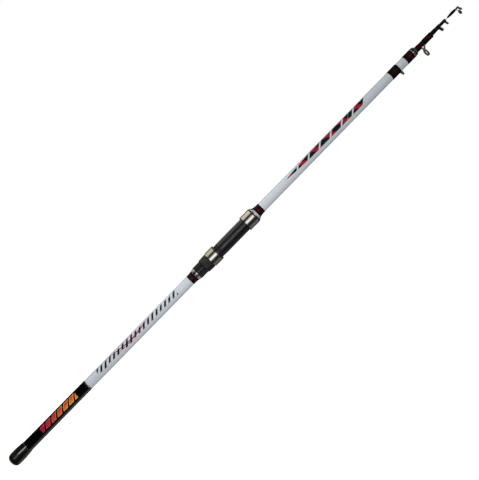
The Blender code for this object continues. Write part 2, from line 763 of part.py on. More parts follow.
def guide_ring(name, ring):
    """The ceramic inlay: a turned ring with a rounded bore."""
    bore_r = ring.bore / 2
    inlay_r = ring_sizes(ring.bore)[0]
    half = ring_width(ring.bore) / 2
    middle = (bore_r + inlay_r) / 2
    points = [(middle, half), (inlay_r, half * 0.6), (inlay_r, -half * 0.6), (middle, -half),
              (bore_r, -half * 0.35), (bore_r, half * 0.35)]
    ring_piece(name, ring, points, "ceramic")


def hoop(name, ring):
    """The frame's ring, still a disc: it is joined to its legs and then cut out for the inlay."""
    _, frame_in, frame_out = ring_sizes(ring.bore)
    half = ring_width(ring.bore) / 2 * HOOP_WIDTH_SHARE
    edge_r = (frame_in + frame_out) / 2
    points = [(0.0, half), (edge_r, half), (frame_out, half * 0.3)]
    points += [(frame_out, -half * 0.3), (edge_r, -half), (0.0, -half)]
    return ring_piece(name, ring, points)


def clear_inlay(frame, ring):
    """Cuts a frame back from the space of its inlay, once the legs are joined on."""
    frame_in = ring_sizes(ring.bore)[1]
    half = (ring_width(ring.bore) + SEAT_GAP) / 2
    points = [(0.0, half), (frame_in, half), (frame_in, -half), (0.0, -half)]
    modify(frame, ring_piece(f"{frame.name}_inlay", ring, points), "DIFFERENCE")


def hoop_point(ring, angle):
    """A point in the middle of the frame's ring, by its angle from the side nearest the rod."""
    _, frame_in, frame_out = ring_sizes(ring.bore)
    r = (frame_in + frame_out) / 2
    return tuple(ring_place(ring) @ Vector((r * math.sin(angle), r * math.cos(angle), 0)))


def foot_bar(name, foot, slot=None, grow=0.0):
    """A flat foot on a tube, or its channel or cover when its walls are set off outwards."""
    ends = (foot.surface(foot.low), foot.surface(foot.high))
    inner = max(ends) + LAYER_GAP
    outer = inner + foot.thick + grow
    if grow:
        inner = min(ends) * math.cos(math.pi / SMALL_SEGMENTS) - EDGE
    half = foot.width / 2 + grow
    return block(name, foot.carrier, foot.low, (-half, -outer, -grow),
                 (half, -inner, foot.high - foot.low + grow), slot, foot.twist)


def wrap_on_foot(name, low, high, build, foot, slot, segments):
    """A thread wrap that runs over a guide's foot and lies close round it."""
    cover_wall = 0.0004
    channel_gap = 0.00015
    wrap = sleeve(name, foot.carrier, low, high, solid, on(foot.surface, build), slot, 0.0, segments,
                  foot.twist)
    covered = foot._replace(low=max(low, foot.low) + cover_wall, high=min(high, foot.high) - cover_wall)
    modify(wrap, foot_bar(f"{name}_cover", covered, None, cover_wall), "UNION")
    bore_out(wrap, foot.carrier, low, high, foot.surface, segments, foot.twist)
    modify(wrap, foot_bar(f"{name}_channel", foot, None, channel_gap), "DIFFERENCE")


def butt_guide():
    """One foot under the wrap, two legs and a leaning ring at the foot's upper end."""
    wrap_high = BUTT_SECTION_TOP - BUTT_GUIDE_DROP
    wrap_low = wrap_high - BUTT_GUIDE_WRAP_LENGTH
    ring_z = wrap_high + BUTT_RING_REACH
    height = ring_height(butt_tube_r(ring_z), BUTT_RING_STAND, BUTT_RING_BORE)
    ring = Ring(butt_body, ring_z, BUTT_RING_BORE, height, math.radians(-8), 0.0)
    foot = Foot(butt_body, wrap_low + 0.0025, wrap_high + 0.0026, butt_tube_r, 0.0034, 0.0010, 0.0)
    frame = foot_bar("butt_guide_frame", foot, "guide_metal")
    modify(frame, hoop("butt_hoop", ring), "UNION")
    root_y = -(butt_tube_r(foot.high) + LAYER_GAP + foot.thick / 2)
    root_z = foot.high - 0.0012 - ring_z
    bend_z = foot.high - FINE_EDGE - ring_z
    leg_r = 0.0008
    for side in (-1, 1):
        leg = wire(f"butt_leg_{side}", butt_body, ring_z, [
            (side * leg_r, root_y, root_z),
            (side * 0.0011, root_y - leg_r, bend_z),
            (side * 0.0026, root_y - 4 * leg_r, bend_z / 2),
            hoop_point(ring, side * math.radians(48)),
        ], leg_r)
        modify(frame, leg, "UNION")
    clear_inlay(frame, ring)
    guide_ring("butt_guide_ring", ring)
    wrap_on_foot("butt_guide_wrap", wrap_low, wrap_high, GUIDE_WRAP_BUILD, foot, "black_gloss", SEGMENTS)


def second_guide():
    """Two feet, an upright leg and two slanting ones that meet under the ring."""
    ring_z = collar_top + SECOND_RING_REACH
    height = ring_height(second_r(ring_z), SECOND_RING_STAND, SECOND_RING_BORE)
    ring = Ring(second_body, ring_z, SECOND_RING_BORE, height, 0.0, GUIDE_TWIST)
    foot = Foot(second_body, collar_top + 0.0030, ring_z + 0.0205, second_r, 0.0022, 0.0007, GUIDE_TWIST)
    frame = foot_bar("second_guide_frame", foot, "guide_metal")
    modify(frame, hoop("second_hoop", ring), "UNION")
    root_y = -(second_r(ring_z) + LAYER_GAP + foot.thick / 2)
    leg_r = 0.0007
    leg = wire("second_leg", second_body, ring_z, [(0, root_y, -leg_r), hoop_point(ring, 0.0)], leg_r,
               GUIDE_TWIST)
    modify(frame, leg, "UNION")
    brace_r = 0.0006
    for side in (-1, 1):
        brace = wire(f"second_brace_{side}", second_body, ring_z, [
            (side * 0.0005, root_y, 0.0070),
            (side * 2 * brace_r, root_y - 0.0022, 0.0040),
            hoop_point(ring, side * math.radians(35)),
        ], brace_r, GUIDE_TWIST)
        modify(frame, brace, "UNION")
    clear_inlay(frame, ring)
    guide_ring("second_guide_ring", ring)
    wrap_on_foot("second_lower_wrap", collar_top + 0.0009, ring_z - 0.0016, WRAP_BUILD,
                 foot._replace(high=ring_z + 0.0006), "red_thread", SMALL_SEGMENTS)
    wrap_on_foot("second_upper_wrap", ring_z + 0.0084, second_top - SEAT_GAP, WRAP_BUILD,
                 foot._replace(low=ring_z + 0.0060), "black_gloss", SMALL_SEGMENTS)


def sleeve_guide(label, carrier, low, high, surface, wall, ring, post_r, post_drop):
    """A guide on a slip-on sleeve, as the thin sections have."""
    frame = sleeve(f"{label}_frame", carrier, low, high, solid, on(surface, LAYER_GAP + wall),
                   "guide_metal", 0.0, SMALL_SEGMENTS, GUIDE_TWIST)
    modify(frame, hoop(f"{label}_hoop", ring), "UNION")
    root_y = -(surface(ring.z) + LAYER_GAP + wall * 0.6)
    post = wire(f"{label}_post", carrier, ring.z, [(0, root_y, -post_drop), hoop_point(ring, 0.0)], post_r,
                GUIDE_TWIST)
    modify(frame, post, "UNION")
    bore_out(frame, carrier, low, high, surface, SMALL_SEGMENTS, GUIDE_TWIST)
    clear_inlay(frame, ring)
    guide_ring(f"{label}_ring", ring)


def end_guide(label, carrier, top, surface, length, bore, stand, drop, lean, post_r):
    """A sleeve guide flush with the mouth of a section, with a thread wrap below it."""
    high = top - FINE_EDGE
    height = ring_height(surface(top), stand, bore)
    ring = Ring(carrier, top - drop, bore, height, lean, GUIDE_TWIST)
    sleeve_guide(label, carrier, high - length, high, surface, SLEEVE_WALL, ring, post_r, 0.0012)
    wrap_high = high - length - SEAT_GAP
    wrap_length = length * 0.4
    sleeve(f"{label}_wrap", carrier, wrap_high - wrap_length, wrap_high, on(surface, LAYER_GAP),
           on(surface, SMALL_WRAP_BUILD), "black_gloss", 0.0, SMALL_SEGMENTS)


def floating_guide():
    """A guide on a sleeve that is loose enough to slide down the tip to where the tip is thicker."""
    low = fourth_top + FLOATING_SLEEVE_RISE
    high = low + FLOATING_SLEEVE_LENGTH
    bore_r = tip_r(low - floating_travel) + SLIDE_GAP / 2
    ring_z = high + 0.0019
    height = ring_height(tip_r(ring_z), FLOATING_RING_STAND, FLOATING_RING_BORE)
    ring = Ring(floating_body, ring_z, FLOATING_RING_BORE, height, 0.0, GUIDE_TWIST)
    sleeve_guide("floating_guide", floating_body, low, high, lambda z: bore_r - LAYER_GAP,
                 FLOATING_SLEEVE_WALL, ring, 0.0006, 0.0022)
    return high


def tip_top_guide(low):
    """A closed tube on the tip, with a ring that leans forward over its end and two side struts."""
    tube_r = tip_r(low) + LAYER_GAP
    out_r = tube_r + TIP_TUBE_WALL
    floor = tip_top + SEAT_GAP / 2 - low
    length = floor + TIP_TUBE_OVER
    frame = turned("tip_top_frame", tip_body, low, [
        (0.0, length),
        (out_r - EDGE, length),
        (out_r, length - EDGE),
        (out_r, 0.0),
        (tube_r, 0.0),
        (tube_r, floor),
        (0.0, floor),
    ], "guide_metal", THIN_SEGMENTS, GUIDE_TWIST)
    ring_z = tip_top + SEAT_GAP
    height = ring_height(tip_end_r, TIP_RING_STAND, TIP_RING_BORE)
    ring = Ring(tip_body, ring_z, TIP_RING_BORE, height, math.radians(-34), GUIDE_TWIST)
    modify(frame, hoop("tip_hoop", ring), "UNION")
    for side in (-1, 1):
        strut = wire(f"tip_strut_{side}", tip_body, ring_z, [
            (side * out_r * 0.6, -out_r * 0.4, low + 0.0012 - ring_z),
            hoop_point(ring, side * math.radians(95)),
        ], 0.0004, GUIDE_TWIST)
        modify(frame, strut, "UNION")
    clear_inlay(frame, ring)
    guide_ring("tip_top_ring", ring)


def upper_guides():
    """The guides of the third and fourth sections, the floating guide and the tip top."""
    end_guide("third_guide", third_body, third_top, third_r, 0.0103, THIRD_RING_BORE, THIRD_RING_STAND,
              0.0019, 0.0, 0.0007)
    end_guide("fourth_guide", fourth_body, fourth_top, fourth_r, 0.0068, FOURTH_RING_BORE,
              FOURTH_RING_STAND, 0.0016, math.radians(-14), 0.0006)
    tip_top_guide(floating_guide() + 2 * SEAT_GAP)


def shade():
    """Keeps flat faces flat and round ones smooth on every piece."""
    for obj in rod.objects:
        if obj.type == "MESH":
            obj.data.shade_smooth()
            obj.modifiers.new("normals", "WEIGHTED_NORMAL")


butt_end()
butt_tube()
seat_trims()
seat_barrel()
hoods_and_nut()
mouth()
sections()
butt_guide()
second_guide()
upper_guides()
shade()

drawn_out = tip_top + second_travel + third_travel + fourth_travel + tip_travel
print(f"closed {1000 * tip_top:.0f} mm, drawn out {1000 * drawn_out:.0f} mm")
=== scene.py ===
# %% [markdown]
# # A telescopic boat rod
#
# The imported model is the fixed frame: its pieces already have the right place and size, in metres,
# with +Z running up the rod. This lesson gives each piece the shape and finish of the real one.
# It goes from the studio to the tools, then up the rod from the butt cap to the tip.

# %% Load the frame and measure it
import json
import math

import bmesh
import bpy
from mathutils import Matrix, Vector


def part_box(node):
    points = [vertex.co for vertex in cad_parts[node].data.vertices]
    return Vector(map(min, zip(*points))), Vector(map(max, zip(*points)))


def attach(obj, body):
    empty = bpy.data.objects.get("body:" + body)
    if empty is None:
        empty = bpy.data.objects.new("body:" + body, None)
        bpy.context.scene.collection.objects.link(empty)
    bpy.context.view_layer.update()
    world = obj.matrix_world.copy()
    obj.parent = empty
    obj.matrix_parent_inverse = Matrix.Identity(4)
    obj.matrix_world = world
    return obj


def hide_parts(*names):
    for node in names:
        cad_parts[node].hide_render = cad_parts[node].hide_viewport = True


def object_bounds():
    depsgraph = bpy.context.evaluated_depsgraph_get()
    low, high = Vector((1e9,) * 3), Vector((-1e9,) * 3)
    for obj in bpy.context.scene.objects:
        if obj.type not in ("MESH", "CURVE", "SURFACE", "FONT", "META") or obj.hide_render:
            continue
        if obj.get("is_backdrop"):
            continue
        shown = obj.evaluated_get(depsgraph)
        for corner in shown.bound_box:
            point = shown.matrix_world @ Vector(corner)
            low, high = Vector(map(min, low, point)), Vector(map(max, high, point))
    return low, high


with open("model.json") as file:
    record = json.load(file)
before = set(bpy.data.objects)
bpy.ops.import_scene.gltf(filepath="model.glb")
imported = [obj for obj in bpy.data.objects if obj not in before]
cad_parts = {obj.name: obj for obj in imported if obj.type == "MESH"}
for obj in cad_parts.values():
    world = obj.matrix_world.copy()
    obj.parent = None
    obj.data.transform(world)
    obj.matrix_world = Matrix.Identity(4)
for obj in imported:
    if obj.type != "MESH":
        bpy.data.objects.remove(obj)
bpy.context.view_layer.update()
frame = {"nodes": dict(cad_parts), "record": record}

MM = 0.001
record = frame["record"]
body_of = {node: body for body, nodes in record["behaviour"]["bodies"].items() for node in nodes}
slot_of = {part["node"]: part["material_slot"] for part in record["subparts"]}

# %% [markdown]
# ## The camera
#
# The rod is seen square from the side, and the camera is rolled so that the rod runs from the
# lower left to the upper right. Rolling the camera is simpler than turning the rod, and it leaves
# every piece in its own frame. The side of the rod that faces the camera is kept as an angle,
# because the painted patterns start from it.

# %% Camera
CAMERA_SIDE = math.radians(105)
ROLL = math.radians(44.39)
DISTANCE = 1.3795
AIM_HEIGHT = 0.5470
AIM_ACROSS = 0.01207

facing = Vector((math.cos(CAMERA_SIDE), math.sin(CAMERA_SIDE), 0))
across = Vector((-facing.y, facing.x, 0))
upward = Vector((0, 0, 1))
right = across * math.cos(ROLL) + upward * math.sin(ROLL)
top = upward * math.cos(ROLL) - across * math.sin(ROLL)
aim = upward * AIM_HEIGHT + across * AIM_ACROSS

scene = bpy.context.scene
scene.view_settings.view_transform = "Standard"
camera = bpy.data.objects.new("camera", bpy.data.cameras.new("camera"))
scene.collection.objects.link(camera)
camera.data.lens = 60
camera.data.sensor_width = 36
turn = Matrix((right, top, facing)).transposed().to_4x4()
camera.matrix_world = Matrix.Translation(aim + facing * DISTANCE) @ turn
scene.camera = camera
print(f"camera {camera.location.length:.2f} m from the butt")

# %% [markdown]
# ## Nodes in few words
#
# A material is a small graph. These helpers add a node, set or link its inputs, and return the
# socket that the next node needs, so a material reads from top to bottom like a recipe. A socket
# knows the tree that it belongs to, so most helpers need only sockets and numbers.

# %% Add a node and feed its inputs
def feed(socket, value):
    """Links another node's output to an input, or sets the input's own value."""
    if isinstance(value, bpy.types.NodeSocket):
        socket.id_data.links.new(value, socket)
    elif isinstance(value, tuple) and socket.type == "RGBA":
        socket.default_value = (*value, 1.0)
    else:
        socket.default_value = value


def put(tree, kind, inputs=(), **settings):
    """Adds a node to a tree. inputs gives values by the input's name or number."""
    made = tree.nodes.new(kind)
    for name, value in settings.items():
        setattr(made, name, value)
    for name, value in dict(inputs).items():
        feed(made.inputs[name], value)
    return made


print("nodes can be added")

# %% Arithmetic, colour and clouds
def calc(operation, *values):
    """One step of arithmetic, in the tree of the sockets that it works on."""
    tree = next(value.id_data for value in values if isinstance(value, bpy.types.NodeSocket))
    return put(tree, "ShaderNodeMath", enumerate(values), operation=operation).outputs[0]


def times(first, second):
    """A product, the commonest step."""
    return calc("MULTIPLY", first, second)


def ramp(value, low, high, start=0.0, end=1.0):
    """A smooth change from start at low to end at high."""
    inputs = {0: value, 1: low, 2: high, 3: start, 4: end}
    return put(value.id_data, "ShaderNodeMapRange", inputs, interpolation_type="SMOOTHSTEP").outputs[0]


def mix(amount, first, second):
    """Mixes two colours: the first where amount is 0, the second where it is 1."""
    inputs = {0: amount, 6: first, 7: second}
    return put(amount.id_data, "ShaderNodeMix", inputs, data_type="RGBA").outputs[2]


def object_place(tree):
    """Object coordinates, which on every piece here are metres in the rod's frame."""
    return put(tree, "ShaderNodeTexCoord").outputs["Object"]


def noise(vector, scale, detail=2.0, roughness=0.5):
    """Cloudy values from 0 to 1."""
    inputs = {"Vector": vector, "Scale": scale, "Detail": detail, "Roughness": roughness}
    return put(vector.id_data, "ShaderNodeTexNoise", inputs).outputs[0]


def cell_pattern(vector, scale):
    """Rounded cells, each with a colour and a distance from its middle."""
    return put(vector.id_data, "ShaderNodeTexVoronoi", {"Vector": vector, "Scale": scale}).outputs


def channels(colour):
    """The three values of a colour."""
    return put(colour.id_data, "ShaderNodeSeparateColor", {0: colour}).outputs


print("node helpers ready")

# %% [markdown]
# ## Studio
#
# The backdrop is plain white paper lit evenly, so the world and the floor are white to the camera
# and to reflections, and only lend a moderate light to the rod itself. The floor keeps a part of
# its ordinary shading, which leaves the rod's soft shadow on it.

# %% World
AMBIENT = 0.25


def seen_directly(tree):
    """1 for what the camera sees, straight, in a reflection or through glass."""
    path = put(tree, "ShaderNodeLightPath")
    mirrored = calc("MAXIMUM", path.outputs["Is Glossy Ray"], path.outputs["Is Transmission Ray"])
    return calc("MAXIMUM", path.outputs["Is Camera Ray"], mirrored)


world = bpy.data.worlds.new("white_backdrop")
scene.world = world
world.use_nodes = True
tree = world.node_tree
strength = calc("MULTIPLY_ADD", seen_directly(tree), 1.0 - AMBIENT, AMBIENT)
feed(tree.nodes["Background"].inputs["Color"], (1.0, 1.0, 1.0))
feed(tree.nodes["Background"].inputs["Strength"], strength)
print(f"white world, {AMBIENT} as a light")

# %% Floor
FLOOR_RADIUS = 6.0
FLOOR_HEIGHT = -0.0006
FLOOR_COLOUR = (0.55, 0.55, 0.55)
FLOOR_GLOW = 0.88


def bare_material(name):
    """A material without its usual shader, its node tree, and the socket that takes a shader."""
    made = bpy.data.materials.new(name)
    made.use_nodes = True
    tree = made.node_tree
    tree.nodes.remove(tree.nodes["Principled BSDF"])
    return made, tree, tree.nodes["Material Output"].inputs["Surface"]


def as_object(name, bm, material):
    """Turns a bmesh into an object at the origin, with one material."""
    mesh = bpy.data.meshes.new(name)
    bm.to_mesh(mesh)
    bm.free()
    mesh.materials.append(material)
    made = bpy.data.objects.new(name, mesh)
    scene.collection.objects.link(made)
    return made


paper, tree, surface_socket = bare_material("backdrop_paper")
matt = put(tree, "ShaderNodeBsdfDiffuse", {"Color": FLOOR_COLOUR})
glow = put(tree, "ShaderNodeEmission", {"Strength": times(seen_directly(tree), FLOOR_GLOW)})
both = put(tree, "ShaderNodeAddShader", {0: matt.outputs[0], 1: glow.outputs[0]})
feed(surface_socket, both.outputs[0])

bm = bmesh.new()
bmesh.ops.create_circle(bm, cap_ends=True, segments=64, radius=FLOOR_RADIUS)
bmesh.ops.translate(bm, verts=bm.verts, vec=(0, 0, FLOOR_HEIGHT))
floor = as_object("floor", bm, paper)
floor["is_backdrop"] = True
print(f"floor {2 * FLOOR_RADIUS:.0f} m across")

# %% [markdown]
# ## Softboxes and panels
#
# The light itself comes from broad softboxes and the world. A rod is also a thin mirror: what a
# studio sets round it is what shows as streaks along it. Curved panels stand on dark cloth all
# round the rod: a warm one to the left, a grey one to the right, dark ones between, and gaps in
# front and behind that show the white backdrop. Above them the wall is dark, then dim, under a
# grey ceiling, which the slopes of the hoods and collars look up at. Two narrow strips close to
# the butt draw the light line on the cap and end it at the cap's lip. Only reflections see the
# panels, so they neither shade the rod nor show behind it, and the softboxes stay out of
# reflections in turn.

# %% Softboxes
def hide_from(thing, *rays):
    """Keeps an object out of some kinds of ray."""
    for ray in rays:
        setattr(thing, f"visible_{ray}", False)


LAMP_DISTANCE = 0.80
LAMP_HEIGHT = 0.52
LAMP_LENGTH = 0.5
SOFTBOXES = (
    ("key_softbox", -21, 0.36, 2.7),
    ("fill_softbox", 10, 0.36, 1.6),
    ("left_softbox", -88, 0.4, 2.1),
    ("right_softbox", 100, 0.4, 0.9),
    ("back_softbox", 182, 0.4, 2.3),
)


def round_the_rod(degrees, distance, height):
    """A place round the rod, by its angle from the camera's side, towards the picture's lower right."""
    angle = CAMERA_SIDE + math.radians(degrees)
    return Vector((distance * math.cos(angle), distance * math.sin(angle), height))


for name, degrees, width, watts in SOFTBOXES:
    data = bpy.data.lights.new(name, "AREA")
    data.shape = "RECTANGLE"
    data.size = width
    data.size_y = LAMP_LENGTH
    data.energy = watts
    lamp = bpy.data.objects.new(name, data)
    scene.collection.objects.link(lamp)
    lamp.location = round_the_rod(degrees, LAMP_DISTANCE, LAMP_HEIGHT)
    lamp.rotation_euler = (aim - lamp.location).to_track_quat("-Z", "Y").to_euler()
    hide_from(lamp, "camera", "glossy")
print(f"{len(SOFTBOXES)} softboxes")

# %% A panel that only reflections see
def panel(name, start, end, line, shade):
    """A panel between two angles round the rod, spun from (radius, height) points, in metres."""
    bm = bmesh.new()
    spots = [bm.verts.new(round_the_rod(start, r, z)) for r, z in line]
    edges = [bm.edges.new(pair) for pair in zip(spots, spots[1:])]
    bmesh.ops.spin(bm, geom=spots + edges, cent=(0, 0, 0), axis=(0, 0, 1),
                   angle=math.radians(end - start), steps=24, use_merge=end - start == 360)
    cloth, tree, surface_socket = bare_material(name)
    cloth.cycles.emission_sampling = "NONE"
    feed(surface_socket, put(tree, "ShaderNodeEmission", {"Color": shade}).outputs[0])
    standing = as_object(name, bm, cloth)
    hide_from(standing, "camera", "diffuse", "shadow", "transmission")
    standing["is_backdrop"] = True


def upright(radius, low, high):
    """The line of an upright panel."""
    return (radius, low), (radius, high)


def level(height, inner):
    """The line of a level panel that reaches out to the wall."""
    return (inner, height), (WALL_RADIUS, height)


WALL_RADIUS = 1.7
WALL = upright(WALL_RADIUS, 0.0, 0.88)
SEAT_WALL = upright(WALL_RADIUS, 0.0, 0.60)
OVER_SEAT_WALL = upright(WALL_RADIUS, 0.60, 0.88)
UPPER_WALL = upright(WALL_RADIUS, 0.88, 1.95)
TOP_WALL = upright(WALL_RADIUS, 1.95, 3.2)
SEAT_STRIP = upright(1.65, 0.0, 0.60)
OVER_SEAT_STRIP = upright(1.65, 0.60, 0.88)
UPPER_STRIP = upright(1.65, 0.88, 3.2)
LOW_CAP_STRIP = upright(0.024, 0.0030, 0.0180)
HIGH_CAP_STRIP = upright(0.024, 0.0180, 0.0338)
CLOTH = level(-0.0003, 0.012)
FLOOR_PANEL = level(-0.0002, 0.02)
CEILING = level(3.2, 0.02)
DARK = (0.03, 0.03, 0.03)

# %% All panels
PANELS = (
    ("dark_cloth", -180, 180, CLOTH, (0.01, 0.01, 0.01)),
    ("dim_floor_panel", 56, 80, FLOOR_PANEL, (0.18, 0.175, 0.165)),
    ("grey_floor_panel", 80, 134, FLOOR_PANEL, (0.60, 0.585, 0.56)),
    ("low_cap_strip", -22, -11, LOW_CAP_STRIP, (2.0, 2.0, 1.9)),
    ("high_cap_strip", -22, -11, HIGH_CAP_STRIP, (13.0, 13.0, 12.6)),
    ("back_left_panel", -168, -124, WALL, DARK),
    ("warm_panel", -124, -60, SEAT_WALL, (0.97, 0.91, 0.71)),
    ("upper_warm_panel", -124, -60, OVER_SEAT_WALL, (1.40, 1.34, 1.12)),
    ("left_dark_panel", -60, -23, WALL, (0.06, 0.06, 0.055)),
    ("front_strip", -7, 8, SEAT_STRIP, (2.6, 2.55, 2.65)),
    ("mid_front_strip", -7, 8, OVER_SEAT_STRIP, (1.75, 1.70, 1.85)),
    ("upper_dark_wall", -168, 168, UPPER_WALL, DARK),
    ("top_wall", -168, 168, TOP_WALL, (0.42, 0.42, 0.41)),
    ("upper_front_strip", -11, 5, UPPER_STRIP, (0.9, 0.9, 0.9)),
    ("ceiling", -180, 180, CEILING, (0.70, 0.70, 0.70)),
    ("right_dark_panel", 20, 72, WALL, (0.03, 0.028, 0.032)),
    ("grey_panel", 72, 128, WALL, (0.22, 0.215, 0.21)),
    ("back_right_panel", 128, 168, WALL, DARK),
)
for settings in PANELS:
    panel(*settings)
print(f"{len(PANELS)} panels")

# %% [markdown]
# ## Turned pieces
#
# Most of a rod is turned on a lathe or wound on a mandrel, so most pieces start the same way: a
# profile of a few points, written in millimetres as radius and height, is spun once round the
# rod. A third number on a point says that the point belongs to a swelling, which some pieces
# have over the reel's foot or a guide's foot. Sharp edges are then rounded with a small bevel,
# because a real edge always catches a little light.

# %% Turn and soften
MERGE = 0.000001


def turned(points, sides=96):
    """Spins a profile of (radius, height) points round the rod's axis."""
    bm = bmesh.new()
    swell = bm.verts.layers.float.new("swell")
    line = []
    for r, z, *amount in points:
        vert = bm.verts.new((r * MM, 0, z * MM))
        vert[swell] = amount[0] if amount else 0.0
        line.append(vert)
    edges = [bm.edges.new(pair) for pair in zip(line, line[1:])]
    if points[0][0] > 0:
        edges.append(bm.edges.new((line[-1], line[0])))
    bmesh.ops.spin(bm, geom=line + edges, cent=(0, 0, 0), axis=(0, 0, 1), angle=2 * math.pi,
                   steps=sides, use_merge=True)
    bmesh.ops.remove_doubles(bm, verts=bm.verts, dist=MERGE)
    bmesh.ops.recalc_face_normals(bm, faces=bm.faces)
    return bm


def soften(bm, width, angle=28, segments=3):
    """Rounds the edges that are sharper than an angle."""
    bmesh.ops.recalc_face_normals(bm, faces=bm.faces)
    sharp = [edge for edge in bm.edges if edge.calc_face_angle(0) > math.radians(angle)]
    bmesh.ops.bevel(bm, geom=sharp, offset=width * MM, offset_type="OFFSET", affect="EDGES",
                    segments=segments, profile=0.5, material=-1, clamp_overlap=True)
    return bm


print("shape helpers ready")

# %% [markdown]
# ## Finishing a piece
#
# Every piece ends the same way: it becomes an object at the origin, with its place in its mesh,
# rides on the CAD body it belongs to, hides the CAD node it stands for, and takes its material.
# The record says which body and which material slot that node has. A coat that lies over another
# piece stands for the same node, with a name of its own.

# %% Finish a piece
made_pieces = []


def finish_piece(name, bm, material, smooth=35, label=None, slot=None):
    """Makes the object. name is the CAD node that it stands for, and smooth its sharpest soft edge."""
    bmesh.ops.recalc_face_normals(bm, faces=bm.faces)
    piece = as_object(label or f"{name}_form", bm, material)
    mesh = piece.data
    mesh.shade_smooth()
    mesh.set_sharp_from_angle(angle=math.radians(smooth))
    body = body_of[name]
    slot = slot or slot_of[name]
    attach(piece, body)
    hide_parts(name)
    even = piece.modifiers.new("even_normals", "WEIGHTED_NORMAL")
    even.keep_sharp = True
    made_pieces.append(piece)
    triangles = sum(len(face.vertices) - 2 for face in mesh.polygons)
    print(f"{piece.name}: {triangles} triangles, {piece.dimensions.z / MM:.1f} mm long")


def ends(node):
    """Lowest and highest height of a CAD node, in millimetres."""
    low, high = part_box(node)
    return low.z / MM, high.z / MM


# %% [markdown]
# ## Effects that several finishes share
#
# Each is a node group, built once. The first gives places round the rod in millimetres: height,
# and distance round the surface from the line that faces the camera. The others are a soft-edged
# band, slanted bars, thread winding, turned grain and the marks of handling.

# %% Make and use a group
def new_group(name, inputs, outputs):
    """An empty node group with named inputs, each with its usual value, and named outputs."""
    tree = bpy.data.node_groups.new(name, "ShaderNodeTree")
    for label, value in inputs.items():
        socket = tree.interface.new_socket(label, in_out="INPUT", socket_type="NodeSocketFloat")
        socket.default_value = value
    for label in outputs:
        tree.interface.new_socket(label, in_out="OUTPUT", socket_type="NodeSocketFloat")
    print(f"group {name}: {', '.join(outputs)}")
    return tree, tree.nodes.new("NodeGroupInput").outputs, tree.nodes.new("NodeGroupOutput").inputs


def use(tree, group, inputs=()):
    """Places a group in a material or in another group, and returns its outputs."""
    return put(tree, "ShaderNodeGroup", inputs, node_tree=group).outputs


# %% Places round the rod
rod_place, _, out = new_group("rod_place", {}, ["Height", "Around", "Angle", "Radius"])
faced = put(rod_place, "ShaderNodeMapping",
            {"Vector": object_place(rod_place), "Rotation": (0, 0, -CAMERA_SIDE)})
x, y, z = put(rod_place, "ShaderNodeSeparateXYZ", {0: faced.outputs[0]}).outputs
angle = calc("ARCTAN2", y, x)
radius = calc("SQRT", calc("MULTIPLY_ADD", x, x, times(y, y)))
feed(out["Height"], times(z, 1 / MM))
feed(out["Around"], times(times(angle, radius), 1 / MM))
feed(out["Radius"], times(radius, 1 / MM))
feed(out["Angle"], angle)

# %% Soft-edged band
band, value, out = new_group("band", {"Value": 0.0, "Low": 0.0, "High": 1.0, "Soft": 0.1}, ["Mask"])
rise = calc("DIVIDE", calc("SUBTRACT", value["Value"], value["Low"]), value["Soft"])
fall = calc("DIVIDE", calc("SUBTRACT", value["High"], value["Value"]), value["Soft"])
feed(out["Mask"], ramp(calc("MINIMUM", rise, fall), -0.5, 0.5))


def between(value, low, high, soft):
    """1 where a value lies between two others, and 0 elsewhere."""
    inputs = {"Value": value, "Low": low, "High": high, "Soft": soft}
    return use(value.id_data, band, inputs)["Mask"]


# %% Slanted bars
BAR_START = 0.05
bars, value, out = new_group("bars", {"Along": 0.0, "Across": 0.0, "Pitch": 10.0, "Slant": 1.0,
                                      "Share": 0.5, "Soft": 0.1}, ["Mask", "Number"])
slanted = calc("MULTIPLY_ADD", value["Across"], value["Slant"], value["Along"])
turns = calc("DIVIDE", slanted, value["Pitch"])
bar_end = calc("ADD", value["Share"], BAR_START)
feed(out["Mask"], between(calc("FRACT", turns), BAR_START, bar_end, value["Soft"]))
feed(out["Number"], calc("FLOOR", turns))


def slanted_bars(place, pitch, slant, share, soft, shift=0.0):
    """Bars round the rod, each a share of the pitch wide, moved up by shift."""
    along = calc("SUBTRACT", place["Height"], shift)
    return use(along.id_data, bars, {"Along": along, "Across": place["Around"], "Pitch": pitch,
                                     "Slant": slant, "Share": share, "Soft": soft})


# %% Thread winding
THREAD_PITCH = 0.24


def turns_up(place, pitch):
    """How many turns a right-handed winding has made from the butt to a place."""
    lead = calc("DIVIDE", place["Angle"], 2 * math.pi)
    return calc("ADD", calc("DIVIDE", place["Height"], pitch), lead)


def random_by(number):
    """A random value and colour for each whole number."""
    return put(number.id_data, "ShaderNodeTexWhiteNoise", {"W": number}, noise_dimensions="1D").outputs


winding, _, out = new_group("thread_winding", {}, ["Relief", "Strand"])
count = turns_up(use(winding, rod_place), THREAD_PITCH)
arch = calc("ABSOLUTE", calc("SINE", times(count, math.pi)))
feed(out["Relief"], calc("SQRT", arch))
feed(out["Strand"], random_by(calc("FLOOR", count))["Value"])

# %% Turned grain
grain, _, out = new_group("turned_grain", {}, ["Relief", "Streak"])
place = use(grain, rod_place)
lines = put(grain, "ShaderNodeCombineXYZ", {0: place["Height"], 1: times(place["Angle"], 0.35)})
feed(out["Relief"], noise(lines.outputs[0], 14.0, 4.0, 0.65))
feed(out["Streak"], noise(lines.outputs[0], 3.0, 3.0, 0.6))

